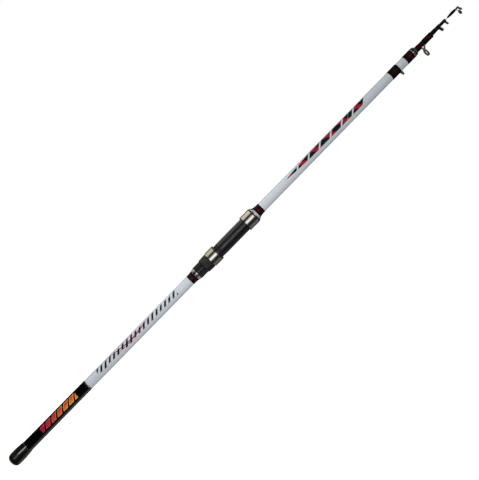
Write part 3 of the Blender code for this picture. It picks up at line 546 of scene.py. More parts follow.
# %% Marks of handling
handling, value, out = new_group("handling_marks", {"Size": 1.0}, ["Smudge", "Scratch", "Dust"])
here = put(handling, "ShaderNodeVectorMath", {0: object_place(handling)}, operation="SCALE")
feed(here.inputs["Scale"], calc("DIVIDE", 1.0, value["Size"]))
here = here.outputs[0]
long_lines = put(handling, "ShaderNodeMapping", {"Vector": here, "Scale": (1.0, 1.0, 0.06),
                                                 "Rotation": (0.25, 0.15, 0.0)}).outputs[0]
feed(out["Smudge"], ramp(noise(here, 55.0, 3.0, 0.6), 0.35, 0.75))
feed(out["Scratch"], ramp(noise(long_lines, 2600.0, 2.0, 0.7), 0.66, 0.74))
feed(out["Dust"], ramp(noise(here, 3800.0, 1.0, 0.5), 0.72, 0.80))

# %% [markdown]
# ## Starting a material
#
# A value that is the same all over the surface is set on the shader's own input. What changes
# over the surface is linked to it later: its colour, its roughness and its bump.

# %% Start and dress a material
def new_material(name, constants):
    """A material with its shader's constant values set, its node tree and the shader's inputs."""
    made = bpy.data.materials.new(name)
    made.use_nodes = True
    inputs = made.node_tree.nodes["Principled BSDF"].inputs
    for label, value in constants.items():
        feed(inputs[label], value)
    print(f"material {name}")
    return made, made.node_tree, inputs


def dress(skin, colour, roughness, normal):
    """Links what changes over the surface."""
    feed(skin["Base Color"], colour)
    feed(skin["Roughness"], roughness)
    feed(skin["Normal"], normal)


def bump(height, depth, strength=1.0):
    """A bump from a height, of a depth in millimetres."""
    inputs = {"Height": height, "Distance": depth * MM, "Strength": strength}
    return put(height.id_data, "ShaderNodeBump", inputs).outputs[0]


def smudged(marks, clean, touched):
    """Roughness that goes from clean to touched where hands have been."""
    return ramp(marks["Smudge"], 0.0, 1.0, clean, touched)


# %% [markdown]
# ## Moulded rubber
#
# The butt cap is black rubber with a slight olive tone. Moulded rubber has a fine, even pebble
# from the mould and dulls where it is handled, so its roughness wanders a little.

# %% Rubber
rubber, tree, skin = new_material("butt_rubber", {"Specular IOR Level": 0.28, "Coat Weight": 0.3,
                                                  "Coat Roughness": 0.18})
here = object_place(tree)
marks = use(tree, handling, {"Size": 0.8})
tone = noise(here, 90.0, 3.0)
base = mix(tone, (0.0048, 0.0050, 0.0036), (0.0080, 0.0083, 0.0062))
dusty = mix(times(marks["Dust"], 0.35), base, (0.06, 0.057, 0.05))
pebble = noise(here, 2600.0, 2.0, 0.6)
dress(skin, dusty, smudged(marks, 0.24, 0.32), bump(pebble, 0.03, 0.3))

# %% [markdown]
# ## Butt cap
#
# The cap is a round-bottomed boot that is pushed over the tube and screwed home. Its widest part
# has moulded grip grooves, its end face a shallow ring, and its upper end thins to a soft lip.
# All of it is one profile, spun once.

# %% The first tube's taper
BUTT_LOW = 10.4
BUTT_HIGH = 987.0
BUTT_LOW_R = 9.72
BUTT_HIGH_R = 8.1
GLUE = 0.1


def butt_surface(z):
    """Radius of the first tube at a height, in millimetres."""
    return BUTT_LOW_R + (BUTT_HIGH_R - BUTT_LOW_R) * (z - BUTT_LOW) / (BUTT_HIGH - BUTT_LOW)


def on_butt(z):
    """Inner radius of what is glued on the first tube."""
    return butt_surface(z) + GLUE


print(f"{butt_surface(500):.2f} mm at half height")

# %% Butt cap
CAP_R = 12.02
CAP_FACE_R = 7.5
SHOULDER = 9.0
GROOVES = (11.2, 13.8, 16.4, 19.0)
GROOVE_DEPTH = 0.24


def curve_points(start, end, count, bend=1.0):
    """Points from one (radius, height) to another. A bend over 1 holds the first radius for longer."""
    out = []
    for k in range(count + 1):
        t = k / count
        out.append((start[0] + (end[0] - start[0]) * t ** bend, start[1] + (end[1] - start[1]) * t))
    return out


def arc(r, z, out, up, angles):
    """Points of an ellipse round (r, z), by angles in degrees from straight out to straight up."""
    return [(r + out * math.cos(math.radians(a)), z + up * math.sin(math.radians(a))) for a in angles]


inside = [(0.0, 3.5), (9.32, 3.5), (9.32, 7.9), (10.02, 7.9), (10.02, 37.5), (10.2, 37.76)]
lip = [(10.45, 37.7), (10.66, 37.3), (10.68, 36.2), (10.74, 35.2)]
taper = curve_points((10.78, 34.8), (CAP_R, 20.6), 8, 0.85)
grooved = []
for z in reversed(GROOVES):
    floor_r = CAP_R - GROOVE_DEPTH
    grooved += [(CAP_R, z + 0.55), (floor_r, z + 0.25), (floor_r, z - 0.25), (CAP_R, z - 0.55)]
rounding = arc(CAP_FACE_R, SHOULDER, CAP_R - CAP_FACE_R, -SHOULDER, range(0, 91, 9))
face = [(6.9, 0.0), (6.6, 0.35), (5.2, 0.35), (4.9, 0.0), (1.4, 0.0), (1.1, 0.3), (0.0, 0.3)]
bm = soften(turned(inside + lip + taper + grooved + rounding + face), 0.12, 24, 2)
finish_piece("butt_cap", bm, rubber)

# %% [markdown]
# ## Screw plug, seal and shock pad
#
# Inside the cap a threaded plug screws into the tube, a rubber ring keeps water out, and a foam
# pad cushions the closed sections. The thread is a fine grid of points round the shank, each
# moved inwards by how far it is from the crest of a helix. The pitch is that of the joint: 2 mm.

# %% Screw threads
THREAD_STEP = 0.25
THREAD_FADE = 1.5


def draw_in(vert, r, amount):
    """Moves a point of radius r towards the rod's axis by an amount, in millimetres."""
    shrink = (r - amount) / r
    vert.co.x *= shrink
    vert.co.y *= shrink


def cut_thread(bm, low, high, crest, depth, pitch):
    """Presses a right-handed thread into the outer surface between two heights, in millimetres."""
    for vert in bm.verts:
        z = vert.co.z / MM
        r = vert.co.xy.length / MM
        if low <= z <= high and abs(r - crest) < 0.01:
            turn = (z / pitch - math.atan2(vert.co.y, vert.co.x) / (2 * math.pi)) % 1.0
            root = min(max(abs(2 * turn - 1) * 1.9 - 0.45, 0.0), 1.0)
            ease = min((z - low) / THREAD_FADE, (high - z) / THREAD_FADE, 1.0)
            draw_in(vert, r, depth * root * ease)


def rows(r, low, high):
    """Profile points up a straight side, close enough together to carry a thread."""
    count = round((high - low) / THREAD_STEP)
    return [(r, low + (high - low) * k / count) for k in range(count + 1)]


SHANK_R = 6.57
SHANK_LOW = 10.4
SHANK_HIGH = 28.0
plug_points = [(0.0, 3.8), (8.82, 3.8), (9.02, 4.0), (9.02, 7.4), (8.82, 7.6), (5.77, 7.6)]
plug_points += [(5.77, SHANK_LOW)] + rows(SHANK_R, SHANK_LOW, SHANK_HIGH) + [(6.17, 28.4), (0.0, 28.4)]
plug_bm = turned(plug_points, 72)
cut_thread(plug_bm, SHANK_LOW + 0.4, SHANK_HIGH - 0.1, SHANK_R, 0.6, 2.0)
print(f"{len(plug_bm.verts)} points on the plug")

# %% Inner plastic and foam
plastic, tree, skin = new_material("inner_plastic", {"Specular IOR Level": 0.5})
here = object_place(tree)
tone = mix(noise(here, 120.0), (0.085, 0.086, 0.095), (0.12, 0.12, 0.13))
dull = ramp(noise(here, 300.0, 3.0), 0.3, 0.7, 0.42, 0.58)
dress(skin, tone, dull, bump(noise(here, 2200.0), 0.03, 0.4))

foam, tree, skin = new_material("shock_foam", {"Specular IOR Level": 0.25})
cells = cell_pattern(object_place(tree), 1600.0)["Distance"]
# The foam is darker in the pits of its cells, where its bump is lowest: painted shade in the pores.
tone = mix(cells, (0.10, 0.095, 0.09), (0.22, 0.21, 0.195))
dress(skin, tone, ramp(cells, 0.0, 0.8, 0.75, 0.95), bump(cells, 0.15, 0.8))

# %% Finish the inner butt pieces
SEAL_R = 1.1
PAD_R = 6.57
PAD_LOW = 28.7
PAD_HIGH = 36.7

finish_piece("butt_plug", plug_bm, plastic)
seal_points = arc(5.87 + SEAL_R, 7.9 + SEAL_R, SEAL_R, SEAL_R, range(0, 346, 15))
finish_piece("plug_seal", turned(seal_points, 64), rubber)
pad_points = [(0.0, PAD_LOW), (PAD_R, PAD_LOW), (PAD_R, PAD_HIGH), (0.0, PAD_HIGH)]
finish_piece("shock_pad", soften(turned(pad_points, 64), 0.7), foam)
inner_nodes = {"butt_insert": plastic, "seat_arbor_lower": foam, "seat_arbor_middle": foam,
               "seat_arbor_upper": foam}
for node, inner in inner_nodes.items():
    for material_slot in frame["nodes"][node].material_slots:
        material_slot.material = inner

# %% [markdown]
# ## Gloss black lacquer with warm bars
#
# The grip sleeve is painted deep black under clear lacquer. A row of slanted bars, red turning to
# orange towards the reel with a thin yellow edge, is printed under the lacquer on the side that
# faces the camera. The lacquer is the shader's coat, clear and smooth, and the paint below it has
# the slow waviness of a dipped surface.

# %% Warm bars
def dipped_waves(here):
    """The slow waviness of a dipped surface."""
    return bump(noise(here, 170.0, 1.0), 0.001)


PRINT_LOW = 76.0
PRINT_HIGH = 162.0
PRINT_PITCH = 14.2
PRINT_SLANT = 0.75
black_gloss, tree, skin = new_material(
    "grip_lacquer", {"Coat Weight": 0.9, "Coat Roughness": 0.05, "Specular IOR Level": 0.10})
place = use(tree, rod_place)
height = place["Height"]
around = place["Around"]
bar = slanted_bars(place, PRINT_PITCH, PRINT_SLANT, 0.74, 0.03)["Mask"]
core = slanted_bars(place, PRINT_PITCH, PRINT_SLANT, 0.62, 0.03, shift=0.9)["Mask"]
window = times(between(height, PRINT_LOW, PRINT_HIGH, 1.0), between(around, -8.2, 2.8, 0.3))
bar = times(window, bar)
core = times(core, between(around, -7.4, 2.0, 0.3))
warm = ramp(height, PRINT_LOW + 2.0, PRINT_HIGH - 2.0)
red = mix(warm, (0.52, 0.010, 0.030), (0.80, 0.055, 0.012))
orange = times(ramp(around, -5.5, 3.0), warm)
fill = mix(orange, red, (0.92, 0.34, 0.030))
rim = mix(warm, (0.55, 0.06, 0.16), (0.95, 0.66, 0.16))
paint = mix(core, rim, fill)

# %% Black gloss
here = object_place(tree)
speck = ramp(noise(here, 5200.0, 1.0), 0.6, 0.8)
black = mix(speck, (0.0009, 0.0008, 0.0009), (0.0026, 0.0024, 0.0024))
marks = use(tree, handling, {"Size": 1.0})
dress(skin, mix(bar, black, paint), smudged(marks, 0.20, 0.30), dipped_waves(here))
print(f"{len(tree.nodes)} nodes in {black_gloss.name}")

# %% Grip sleeve
def sleeve(name, build, sides):
    """A plain sleeve on the first tube, of a build over the tube in millimetres."""
    low, high = ends(name)
    return turned([(on_butt(low), low), (butt_surface(low) + build, low),
                   (butt_surface(high) + build, high), (on_butt(high), high)], sides)


finish_piece("grip_sleeve", soften(sleeve("grip_sleeve", 0.43, 128), 0.16, 28, 4), black_gloss)

# %% [markdown]
# ## Pearl white lacquer
#
# The first tube is bluish pearl white. Three painted patterns lie on it: the black grip colour
# ends in short brushed teeth, a run of slanted black dashes with fine red streaks fills the space
# below the reel seat, and a long dart of black with red flashes runs above it. They are masks in
# height and distance round the tube, so they sit on the surface and turn with it.

# %% Brushed teeth and slanted dashes
GRIP_END = 170.0
TEETH_FROM = 182.0
TOOTH_REACH = 11.0
DASHES_START = 214.0
DASHES_END = 408.0

white_lacquer, tree, skin = new_material(
    "pearl_lacquer", {"Coat Weight": 0.45, "Coat Roughness": 0.05, "Specular IOR Level": 0.08})
place = use(tree, rod_place)
height = place["Height"]
around = place["Around"]
brush = put(tree, "ShaderNodeCombineXYZ", {0: around, 1: times(height, 0.10)}).outputs[0]
tooth = calc("MULTIPLY_ADD", noise(brush, 0.8, 2.0), TOOTH_REACH, TEETH_FROM)
teeth = between(height, GRIP_END, tooth, 0.5)

dash = slanted_bars(place, 10.4, 0.85, 0.46, 0.06)
chance = channels(random_by(dash["Number"])["Color"])
dash_low = calc("MULTIPLY_ADD", chance[0], 3.0, -9.2)
dash_high = calc("MULTIPLY_ADD", chance[1], 3.0, 0.2)
dashes = times(dash["Mask"], between(around, dash_low, dash_high, 0.5))
dashes = times(dashes, between(height, DASHES_START, DASHES_END, 3.0))
print(f"dashes from {DASHES_START:.0f} to {DASHES_END:.0f} mm")

# %% Red streaks
STREAKS = (  # middle, swing and wave, start and end, thickness
    (-3.4, -3.6, 26.0, 246.0, 338.0, 0.7),
    (-6.2, 2.2, 15.0, 300.0, 352.0, 0.6),
    (-5.0, 3.4, 21.0, 232.0, 345.0, 1.0),
)


def streak(middle, swing, wave, start, end, thick):
    """A thin line that swings slowly from side to side and tapers at its ends."""
    phase = calc("DIVIDE", height, wave)
    line = calc("MULTIPLY_ADD", calc("SINE", phase), swing, middle)
    off = calc("ABSOLUTE", calc("SUBTRACT", around, line))
    t = calc("DIVIDE", calc("SUBTRACT", height, start), end - start)
    belly = times(times(t, calc("SUBTRACT", 1.0, t)), 4 * thick)
    return ramp(calc("SUBTRACT", belly, off), 0.0, 0.25)


streaks = 0.0
for settings in STREAKS:
    streaks = calc("MAXIMUM", streak(*settings), streaks)
print(f"{len(STREAKS)} streaks")

# %% Dart above the reel seat
DART_START = 673.0
DART_END = 866.0
DART_OPENING = 64.0

opening = calc("DIVIDE", calc("SUBTRACT", height, DART_START), DART_OPENING)
opening = calc("MINIMUM", calc("MAXIMUM", opening, 0.0), 1.0)
dart_low = calc("MULTIPLY_ADD", opening, -5.6, -3.2)
dart_high = calc("MULTIPLY_ADD", opening, 3.4, -2.4)
aslant = calc("MULTIPLY_ADD", around, 0.6, height)
dart = times(between(around, dart_low, dart_high, 0.4), between(aslant, DART_START, DART_END, 1.0))
dart = times(dart, slanted_bars(place, 27.0, 1.1, 0.86, 0.03)["Mask"])
flash = slanted_bars(place, 34.0, -1.6, 0.34, 0.05)["Mask"]
hairs = times(slanted_bars(place, 13.5, 1.1, 0.05, 0.03)["Mask"], between(height, 815.0, 842.0, 1.0))
print(f"dart from {DART_START:.0f} to {DART_END:.0f} mm")

# %% Put the pearl lacquer together
INK = (0.010, 0.010, 0.011)
RED_INK = (0.40, 0.012, 0.030)
GREEN_INK = (0.10, 0.62, 0.45)

here = object_place(tree)
glint = channels(cell_pattern(here, 5200.0)["Color"])[0]
cloud = noise(here, 14.0, 2.0)
pearl = mix(cloud, (0.600, 0.640, 0.700), (0.640, 0.676, 0.730))
painted = mix(times(glint, 0.10), pearl, (0.86, 0.90, 0.95))
dart_ink = mix(flash, INK, RED_INK)
dart_ink = mix(hairs, dart_ink, GREEN_INK)
for mask, ink in ((streaks, RED_INK), (dashes, INK), (dart, dart_ink), (teeth, INK)):
    painted = mix(mask, painted, ink)
marks = use(tree, handling, {"Size": 1.2})
dress(skin, painted, smudged(marks, 0.28, 0.36), dipped_waves(here))
print(f"{len(tree.nodes)} nodes in {white_lacquer.name}")

# %% First tube
PAD_TOP = 37.0
BORE_R = 7.87
MOUTH_R = 5.6

blank_points = [(BORE_R, BUTT_LOW), (BUTT_LOW_R, BUTT_LOW), (BUTT_HIGH_R, BUTT_HIGH), (MOUTH_R, BUTT_HIGH),
                (BORE_R, PAD_TOP)]
finish_piece("butt_blank", soften(turned(blank_points, 128), 0.3), white_lacquer)

# %% [markdown]
# ## Thread under epoxy
#
# Trims and guide feet are wound with fine thread, close turn by turn, and soaked in clear epoxy
# that levels to a glassy skin. The strands are the base layer with a bump, and the epoxy is a
# smooth coat over it. Each trim has a band of metallic red thread, given by heights, between
# black ones.

# %% Wound thread
BLACK_THREAD = (0.0032, 0.0028, 0.0030)
RED_THREAD = (0.11, 0.0025, 0.0060)


def thread_material(name, red_bands=(), dark=BLACK_THREAD, red=RED_THREAD):
    """Dark thread with bands of red, each (lowest height, highest height, how strong)."""
    made, tree, skin = new_material(name, {"Coat Weight": 0.08, "Coat Roughness": 0.07,
                                           "Specular IOR Level": 0.10})
    place = use(tree, rod_place)
    wound = use(tree, winding)
    shade = mix(wound["Strand"], dark, tuple(1.7 * c for c in dark))
    bright = mix(wound["Strand"], red, tuple(1.5 * c for c in red))
    metal = 0.0
    for low, high, strong in red_bands:
        inside = times(between(place["Height"], low, high, 0.3), strong)
        shade = mix(inside, shade, bright)
        metal = calc("MAXIMUM", inside, metal)
    if red_bands:
        feed(skin["Metallic"], times(metal, 0.85))
    worn = ramp(wound["Strand"], 0.0, 1.0, 0.40, 0.55)
    dress(skin, shade, calc("MULTIPLY_ADD", metal, -0.16, worn), bump(wound["Relief"], 0.05, 0.6))
    return made


lower_thread = thread_material("lower_trim_thread", [(442.2, 446.0, 0.32), (449.0, 450.2, 0.12)])

# %% [markdown]
# ## Trims round the reel seat
#
# The lower trim swells towards the winding check, which hides the end of the seat. Epoxy never
# ends square, so a wrap starts with a small dome.

# %% Lower trim
TRIM_BUILD = 0.4


def dome(surface, low, build, length=0.9):
    """The rounded start of a wrap, from the tube up to its full build."""
    out = []
    for t in (0.0, 0.2, 0.4, 0.6, 0.8, 1.0):
        rise = (build - GLUE) * math.sin(t * math.pi / 2)
        out.append((surface(low) + GLUE + rise, low + length * t * t))
    return out


low, high = ends("lower_trim_wrap")
full_r = butt_surface(low) + TRIM_BUILD
trim_points = [(on_butt(high), high), (on_butt(low), low)] + dome(butt_surface, low, TRIM_BUILD)
trim_points += curve_points((full_r, low + 4.0), (10.19, high), 10, 1.6)
finish_piece("lower_trim_wrap", turned(trim_points, 112), lower_thread)

# %% Brushed steel
def steel_material(name, low_tint, high_tint, rough):
    """Turned steel: grain round the rod, faint streaks of tone, and polished by handling."""
    made, tree, skin = new_material(name, {"Metallic": 1.0})
    cut = use(tree, grain)
    marks = use(tree, handling, {"Size": 0.7})
    tone = mix(cut["Streak"], low_tint, high_tint)
    worn = calc("MULTIPLY_ADD", marks["Smudge"], 0.07, rough)
    worn = calc("MULTIPLY_ADD", cut["Relief"], 0.08, worn)
    dress(skin, tone, worn, bump(cut["Relief"], 0.006, 0.6))
    return made


bright_steel = steel_material("bright_steel", (0.60, 0.59, 0.57), (0.76, 0.75, 0.73), 0.16)
band_steel = steel_material("hood_steel", (0.44, 0.42, 0.39), (0.56, 0.54, 0.50), 0.14)

# %% Winding check
BRIM_R = 11.21
NECK_R = 10.39

low, high = ends("winding_check")
check_points = [(on_butt(high), high), (BRIM_R, high), (BRIM_R, high - 1.5), (BRIM_R - 0.35, high - 1.6),
                (BRIM_R - 0.35, high - 1.8), (NECK_R, low + 0.5), (NECK_R, low), (on_butt(low), low)]
finish_piece("winding_check", soften(turned(check_points, 112), 0.18, 20), bright_steel)

# %% [markdown]
# ## Reel seat barrel
#
# The barrel is a plastic tube with a coarse right-handed thread for the nut, 2.5 mm to a turn,
# and a flat bed on the reel's side that stands a little proud of the flats under the hoods. The
# thread is pressed into a fine grid. The flats are made by moving every point beyond the flat
# back onto it, after a bisect has put an edge exactly where the flat begins.

# %% Seat plastic
seat_plastic, tree, skin = new_material("seat_plastic", {"Specular IOR Level": 0.55})
here = object_place(tree)
marks = use(tree, handling, {"Size": 0.9})
tone = noise(here, 60.0, 2.0)
base = mix(tone, (0.0048, 0.0044, 0.0078), (0.0078, 0.0073, 0.0112))
scratched = mix(times(marks["Scratch"], 0.25), base, (0.035, 0.035, 0.038))
dress(skin, scratched, smudged(marks, 0.26, 0.38), bump(noise(here, 1900.0, 2.0), 0.02, 0.5))

# %% Barrel
BARREL_R = 12.0112
BARREL_BORE_R = 10.2812
CHAMFER = 0.4
THREAD_END = 513.5
FLATS = ((491.0, 508.0, 11.0112), (508.0, 571.3, 11.3112), (571.3, 588.3, 11.0112))

low, high = ends("seat_barrel")
barrel_points = [(BARREL_BORE_R, high), (BARREL_R - CHAMFER, high), (BARREL_R, high - CHAMFER)]
for _, flat_end, _ in reversed(FLATS):
    if flat_end > THREAD_END:
        barrel_points += [(BARREL_R, flat_end + 0.02), (BARREL_R, flat_end - 0.02)]
barrel_points += reversed(rows(BARREL_R, low + CHAMFER, THREAD_END))
barrel_points += [(BARREL_R - CHAMFER, low), (BARREL_BORE_R, low)]
bm = turned(barrel_points, 144)
cut_thread(bm, low + 0.5, THREAD_END, BARREL_R, 0.55, 2.5)
for _, _, depth in FLATS:
    bmesh.ops.bisect_plane(bm, geom=bm.verts[:] + bm.edges[:] + bm.faces[:],
                           plane_co=Vector((0, -depth * MM, 0)), plane_no=(0, 1, 0), dist=MERGE)
for vert in bm.verts:
    for flat_start, flat_end, depth in FLATS:
        if flat_start <= vert.co.z / MM <= flat_end:
            vert.co.y = max(vert.co.y, -depth * MM)
finish_piece("seat_barrel", bm, seat_plastic, 30)

# %% [markdown]
# ## Lock nut
#
# The nut has thirty rounded ribs for the fingers. It is spun with eight sides to each rib and
# the points of its outer side are drawn in between the crests, so the ribs fade into the two
# chamfered ends.

# %% Lock nut
SLIDING_BORE_R = 12.3112
RIBS = 30
RIB_DEPTH = 0.42
RIB_FADE = 0.8

low, high = ends("lock_nut")
nut_points = [(SLIDING_BORE_R, high), (13.06, high), (13.45, high - 0.5), (13.76, high - 1.1)]
nut_points += [(13.76, high - 1.9)] + curve_points((13.74, high - 2.2), (13.18, low + 1.8), 8)
nut_points += [(13.16, low + 1.1), (12.86, low + 0.5), (12.46, low), (SLIDING_BORE_R, low)]
bm = turned(nut_points, RIBS * 8)
rib_low = low + 0.8
rib_high = high - 1.0
for vert in bm.verts:
    r = vert.co.xy.length / MM
    z = vert.co.z / MM
    if r > 12.9 and rib_low < z < rib_high:
        wave = 0.5 - 0.5 * math.cos(RIBS * math.atan2(vert.co.y, vert.co.x))
        ease = min((z - rib_low) / RIB_FADE, (rib_high - z) / RIB_FADE, 1.0)
        draw_in(vert, r, RIB_DEPTH * wave ** 2 * ease)
finish_piece("lock_nut", bm, seat_plastic, 50)

# %% [markdown]
# ## Hoods
#
# Each hood is round, with a swelling over the reel's side that holds the end of the reel's foot.
# The piece is spun as if it were plain, and then the points that carry a swelling are pushed out
# where they lie near the reel's side. The pocket inside and the outside swell by different
# amounts over different angles, so the wall stays even. A steel band is pressed over the middle.

# %% Swellings
REEL_SIDE = -math.pi / 2


def swell_out(bm, inner, outer, toward=REEL_SIDE):
    """Pushes swelling points out near a direction. inner and outer are (rise, plateau, end of the
    fall), in millimetres and degrees; points with a swell over 0 use outer, those under 0 inner."""
    layer = bm.verts.layers.float["swell"]
    for vert in bm.verts:
        if vert[layer]:
            rise, plateau, last = outer if vert[layer] > 0 else inner
            angle = math.atan2(vert.co.y, vert.co.x)
            away = abs(math.degrees((angle - toward + math.pi) % (2 * math.pi) - math.pi))
            t = min(max((last - away) / (last - plateau), 0.0), 1.0)
            draw_in(vert, vert.co.xy.length / MM, -rise * abs(vert[layer]) * t * t * (3 - 2 * t))
    return bm


print("swellings ready")

# %% Hoods and their bands
POCKET_RISE = (4.6, 24, 44)
HOOD_RISE = (4.1, 30, 52)
POCKET_DEPTH = 15.5
BAND_GAP = 0.15
FLARE = 0.3


def hood_pieces(name, bore_r, low, lip, band_length, rim, mouth_up, end_share):
    """A hood and its band. Heights run from the closed end to the mouth."""
    total = lip + band_length + rim
    core_r = bore_r + 1.3
    full_r = core_r + 0.8
    pocket = total - POCKET_DEPTH

    def swollen(points):
        placed = [(r, low + (h if mouth_up else total - h), *amount) for r, h, *amount in points]
        return swell_out(turned(placed, 144), POCKET_RISE, HOOD_RISE)

    shell = [(bore_r, total, -1.0), (full_r, total, 1.0), (full_r, total - lip, 1.0),
             (core_r, total - lip, 1.0), (core_r, rim, 1.0)]
    if rim:
        shell += [(full_r, rim, 1.0), (full_r, 0.7, 1.0), (full_r - 0.6, 0.0, end_share)]
    shell += [(bore_r, 0.0), (bore_r, pocket - 0.2), (bore_r, pocket, -1.0)]
    finish_piece(name, soften(swollen(shell), 0.45, 40), seat_plastic, 40)

    top = total - lip - BAND_GAP
    bottom = rim + BAND_GAP
    top_r, bottom_r = (full_r + FLARE, full_r) if mouth_up else (full_r, full_r + FLARE)
    inner_r = core_r + 0.1
    ring = [(inner_r, top, 1.0), (top_r, top, 1.0), (bottom_r, bottom, 1.0), (inner_r, bottom, 1.0)]
    finish_piece(f"{name}_band", soften(swollen(ring), 0.22, 40), band_steel, 40)


hood_pieces("moving_hood", SLIDING_BORE_R, 486.8, 3.1, 16.6, 0.0, True, 1.0)
hood_pieces("fixed_hood", 12.1112, 572.8, 1.9, 19.0, 2.3, False, 0.70)

# %% [markdown]
# ## Bright tapered ring and upper trim
#
# A polished ring closes the upper end of the seat, and a black trim with a red line tapers from
# it down to the tube.

# %% Upper trim ring
low, high = ends("upper_trim_ring")
ring_points = [(on_butt(high), high), (10.74, high), (11.14, high - 0.8), (12.75, low + 1.55),
               (13.05, low + 1.35), (13.31, low + 1.1), (13.31, low), (on_butt(low), low)]
finish_piece("upper_trim_ring", soften(turned(ring_points, 112), 0.2, 18), bright_steel)

# %% Upper trim
upper_thread = thread_material("upper_trim_thread", [(604.8, 607.9, 0.78)])
low, high = ends("upper_trim_wrap")
wrap_points = [(on_butt(low), low), (10.52, low)]
wrap_points += [(9.54 + 0.98 * (1 - k / 8) ** 1.6, low + 5.6 * k / 8) for k in range(1, 9)]
wrap_points += [(9.25, low + 9.0)]
wrap_points += [(r, 2 * high - z) for r, z in reversed(dome(butt_surface, high, TRIM_BUILD))]
wrap_points += [(on_butt(high), high)]
finish_piece("upper_trim_wrap", turned(wrap_points, 112), upper_thread)

# %% [markdown]
# ## Wraps, with and without a guide's foot
#
# A plain wrap is a long low dome. Where a guide's foot lies under the thread, the wrap rises over
# it like a tent and leaves a channel inside, made with the same swelling as the hoods.

# %% Wraps
def wrap_piece(name, surface, build, material, sides, foot=None, toward=REEL_SIDE, end_length=0.9,
               longer=0.0):
    """A wrap on a tube, which may start lower than its CAD node. foot gives the rise of the channel
    and of the outside, with their angles."""
    low, high = ends(name)
    low -= longer
    channel, tent = (-1.0, 1.0) if foot else (0.0, 0.0)
    start = dome(surface, low, build, end_length)
    end = [(surface(high) + r - surface(low), low + high - z) for r, z in reversed(start)]
    outside = [(r, z, tent) for r, z in start + end]
    points = [(surface(high) + GLUE, high, channel), (surface(low) + GLUE, low, channel)] + outside[1:-1]
    bm = turned(points, sides)
    if foot:
        swell_out(bm, *foot, toward)
    finish_piece(name, bm, material, 50)


BUTT_FOOT = ((1.35, 11.5, 19.0), (1.25, 12.5, 30.0))
mouth_thread = thread_material("mouth_thread", [(975.0, 979.2, 0.65), (967.0, 967.9, 0.5)])
wrap_piece("mouth_wrap", butt_surface, 0.4, mouth_thread, 112, longer=1.2)
foot_thread = thread_material("butt_guide_thread", [(937.5, 943.8, 0.09), (929.6, 930.5, 0.5)])
wrap_piece("butt_guide_wrap", butt_surface, 0.5, foot_thread, 144, BUTT_FOOT, longer=1.6)

# %% [markdown]
# ## Ferrule ring and mouth collar
#
# A hairline of bright metal and a rounded black collar close the mouth of the first tube.

# %% Mouth of the first tube
finish_piece("ferrule_ring", soften(sleeve("ferrule_ring", 0.5, 112), 0.15), bright_steel)

gloss, tree, skin = new_material("collar_gloss", {"Specular IOR Level": 0.5, "Coat Weight": 0.5,
                                                  "Coat Roughness": 0.06})
here = object_place(tree)
marks = use(tree, handling, {"Size": 0.6})
tone = mix(noise(here, 150.0), (0.0045, 0.0045, 0.0050), (0.0080, 0.0080, 0.0088))
dress(skin, tone, smudged(marks, 0.22, 0.36), bump(noise(here, 1200.0), 0.01, 0.4))

low, high = ends("mouth_collar")
collar_points = [(MOUTH_R, high), (6.2, high)] + arc(6.3, low + 1.3, 1.9, 4.3, range(80, -1, -8))
collar_points += [(8.2, low + 0.4), (8.0, low), (MOUTH_R, low)]
finish_piece("mouth_collar", soften(turned(collar_points, 112), 0.2, 40), gloss)

# %% [markdown]
# ## Inner sections
#
# The three hollow sections are near-black gloss tubes. The tape that pressed their cloth while
# it was cured leaves a very fine spiral, so the surface is not quite smooth. The last section is
# a solid tip of pale glass.

# %% Blank and tip materials
TAPE_PITCH = 2.4

dark_blank, tree, skin = new_material("dark_blank", {"Coat Weight": 0.18, "Coat Roughness": 0.08,
                                                     "Specular IOR Level": 0.10})
spiral = turns_up(use(tree, rod_place), TAPE_PITCH)
tape = calc("SINE", times(spiral, 2 * math.pi))
marks = use(tree, handling, {"Size": 0.7})
tone = mix(ramp(tape, -1.0, 1.0), (0.0035, 0.0034, 0.0038), (0.0070, 0.0068, 0.0075))
dress(skin, tone, smudged(marks, 0.24, 0.38), bump(tape, 0.008, 0.7))

tip_glass, tree, skin = new_material("tip_glass", {"Specular IOR Level": 0.5, "Coat Weight": 0.3})
fibres = put(tree, "ShaderNodeMapping", {"Vector": object_place(tree), "Scale": (1.0, 1.0, 0.02)})
fibres = noise(fibres.outputs[0], 9000.0, 2.0)
tone = mix(fibres, (0.52, 0.60, 0.40), (0.74, 0.80, 0.60))
dress(skin, tone, ramp(fibres, 0.2, 0.8, 0.25, 0.40), bump(fibres, 0.01, 0.4))

# %% Tubes and tip
TIP_LOW_R = 1.30
TIP_HIGH_R = 0.65


def tube_surface(base_r, top_r, top_z):
    """Radius at a height of a section that tapers evenly from the shock pad to its mouth."""
    return lambda z: base_r + (top_r - base_r) * (z - PAD_TOP) / (top_z - PAD_TOP)


second_surface = tube_surface(5.30, 4.45, 1032.0)
third_surface = tube_surface(3.45, 3.20, 1052.6)
fourth_surface = tube_surface(2.25, 2.05, 1066.4)
tip_surface = tube_surface(TIP_LOW_R, TIP_HIGH_R, 1098.2)

for name, surface, wall in (("second_blank", second_surface, 0.70), ("third_blank", third_surface, 0.65),
                            ("fourth_blank", fourth_surface, 0.45)):
    low, high = ends(name)
    points = [(surface(high) - wall, high), (surface(high), high), (surface(low), low)]
    points += [(surface(low) - wall, low)]
    finish_piece(name, soften(turned(points, 80), 0.12), dark_blank)

low, high = ends("tip_blank")
tip_points = [(0.0, high), (TIP_HIGH_R, high), (TIP_LOW_R, low), (0.0, low)]
finish_piece("tip_blank", soften(turned(tip_points, 40), 0.12, segments=2), tip_glass)

# %% [markdown]
# ## Guide rings
#
# A guide's ring is a polished ceramic with a rounded bore, pressed into a metal frame ring. The
# CAD node says where each ring is: the middle of its box. The ring is spun round the rod's axis
# like everything else, and then moved out and leant towards the tip. The second ring is also
# turned a little on its leg, so that its bore shows from the camera's side.

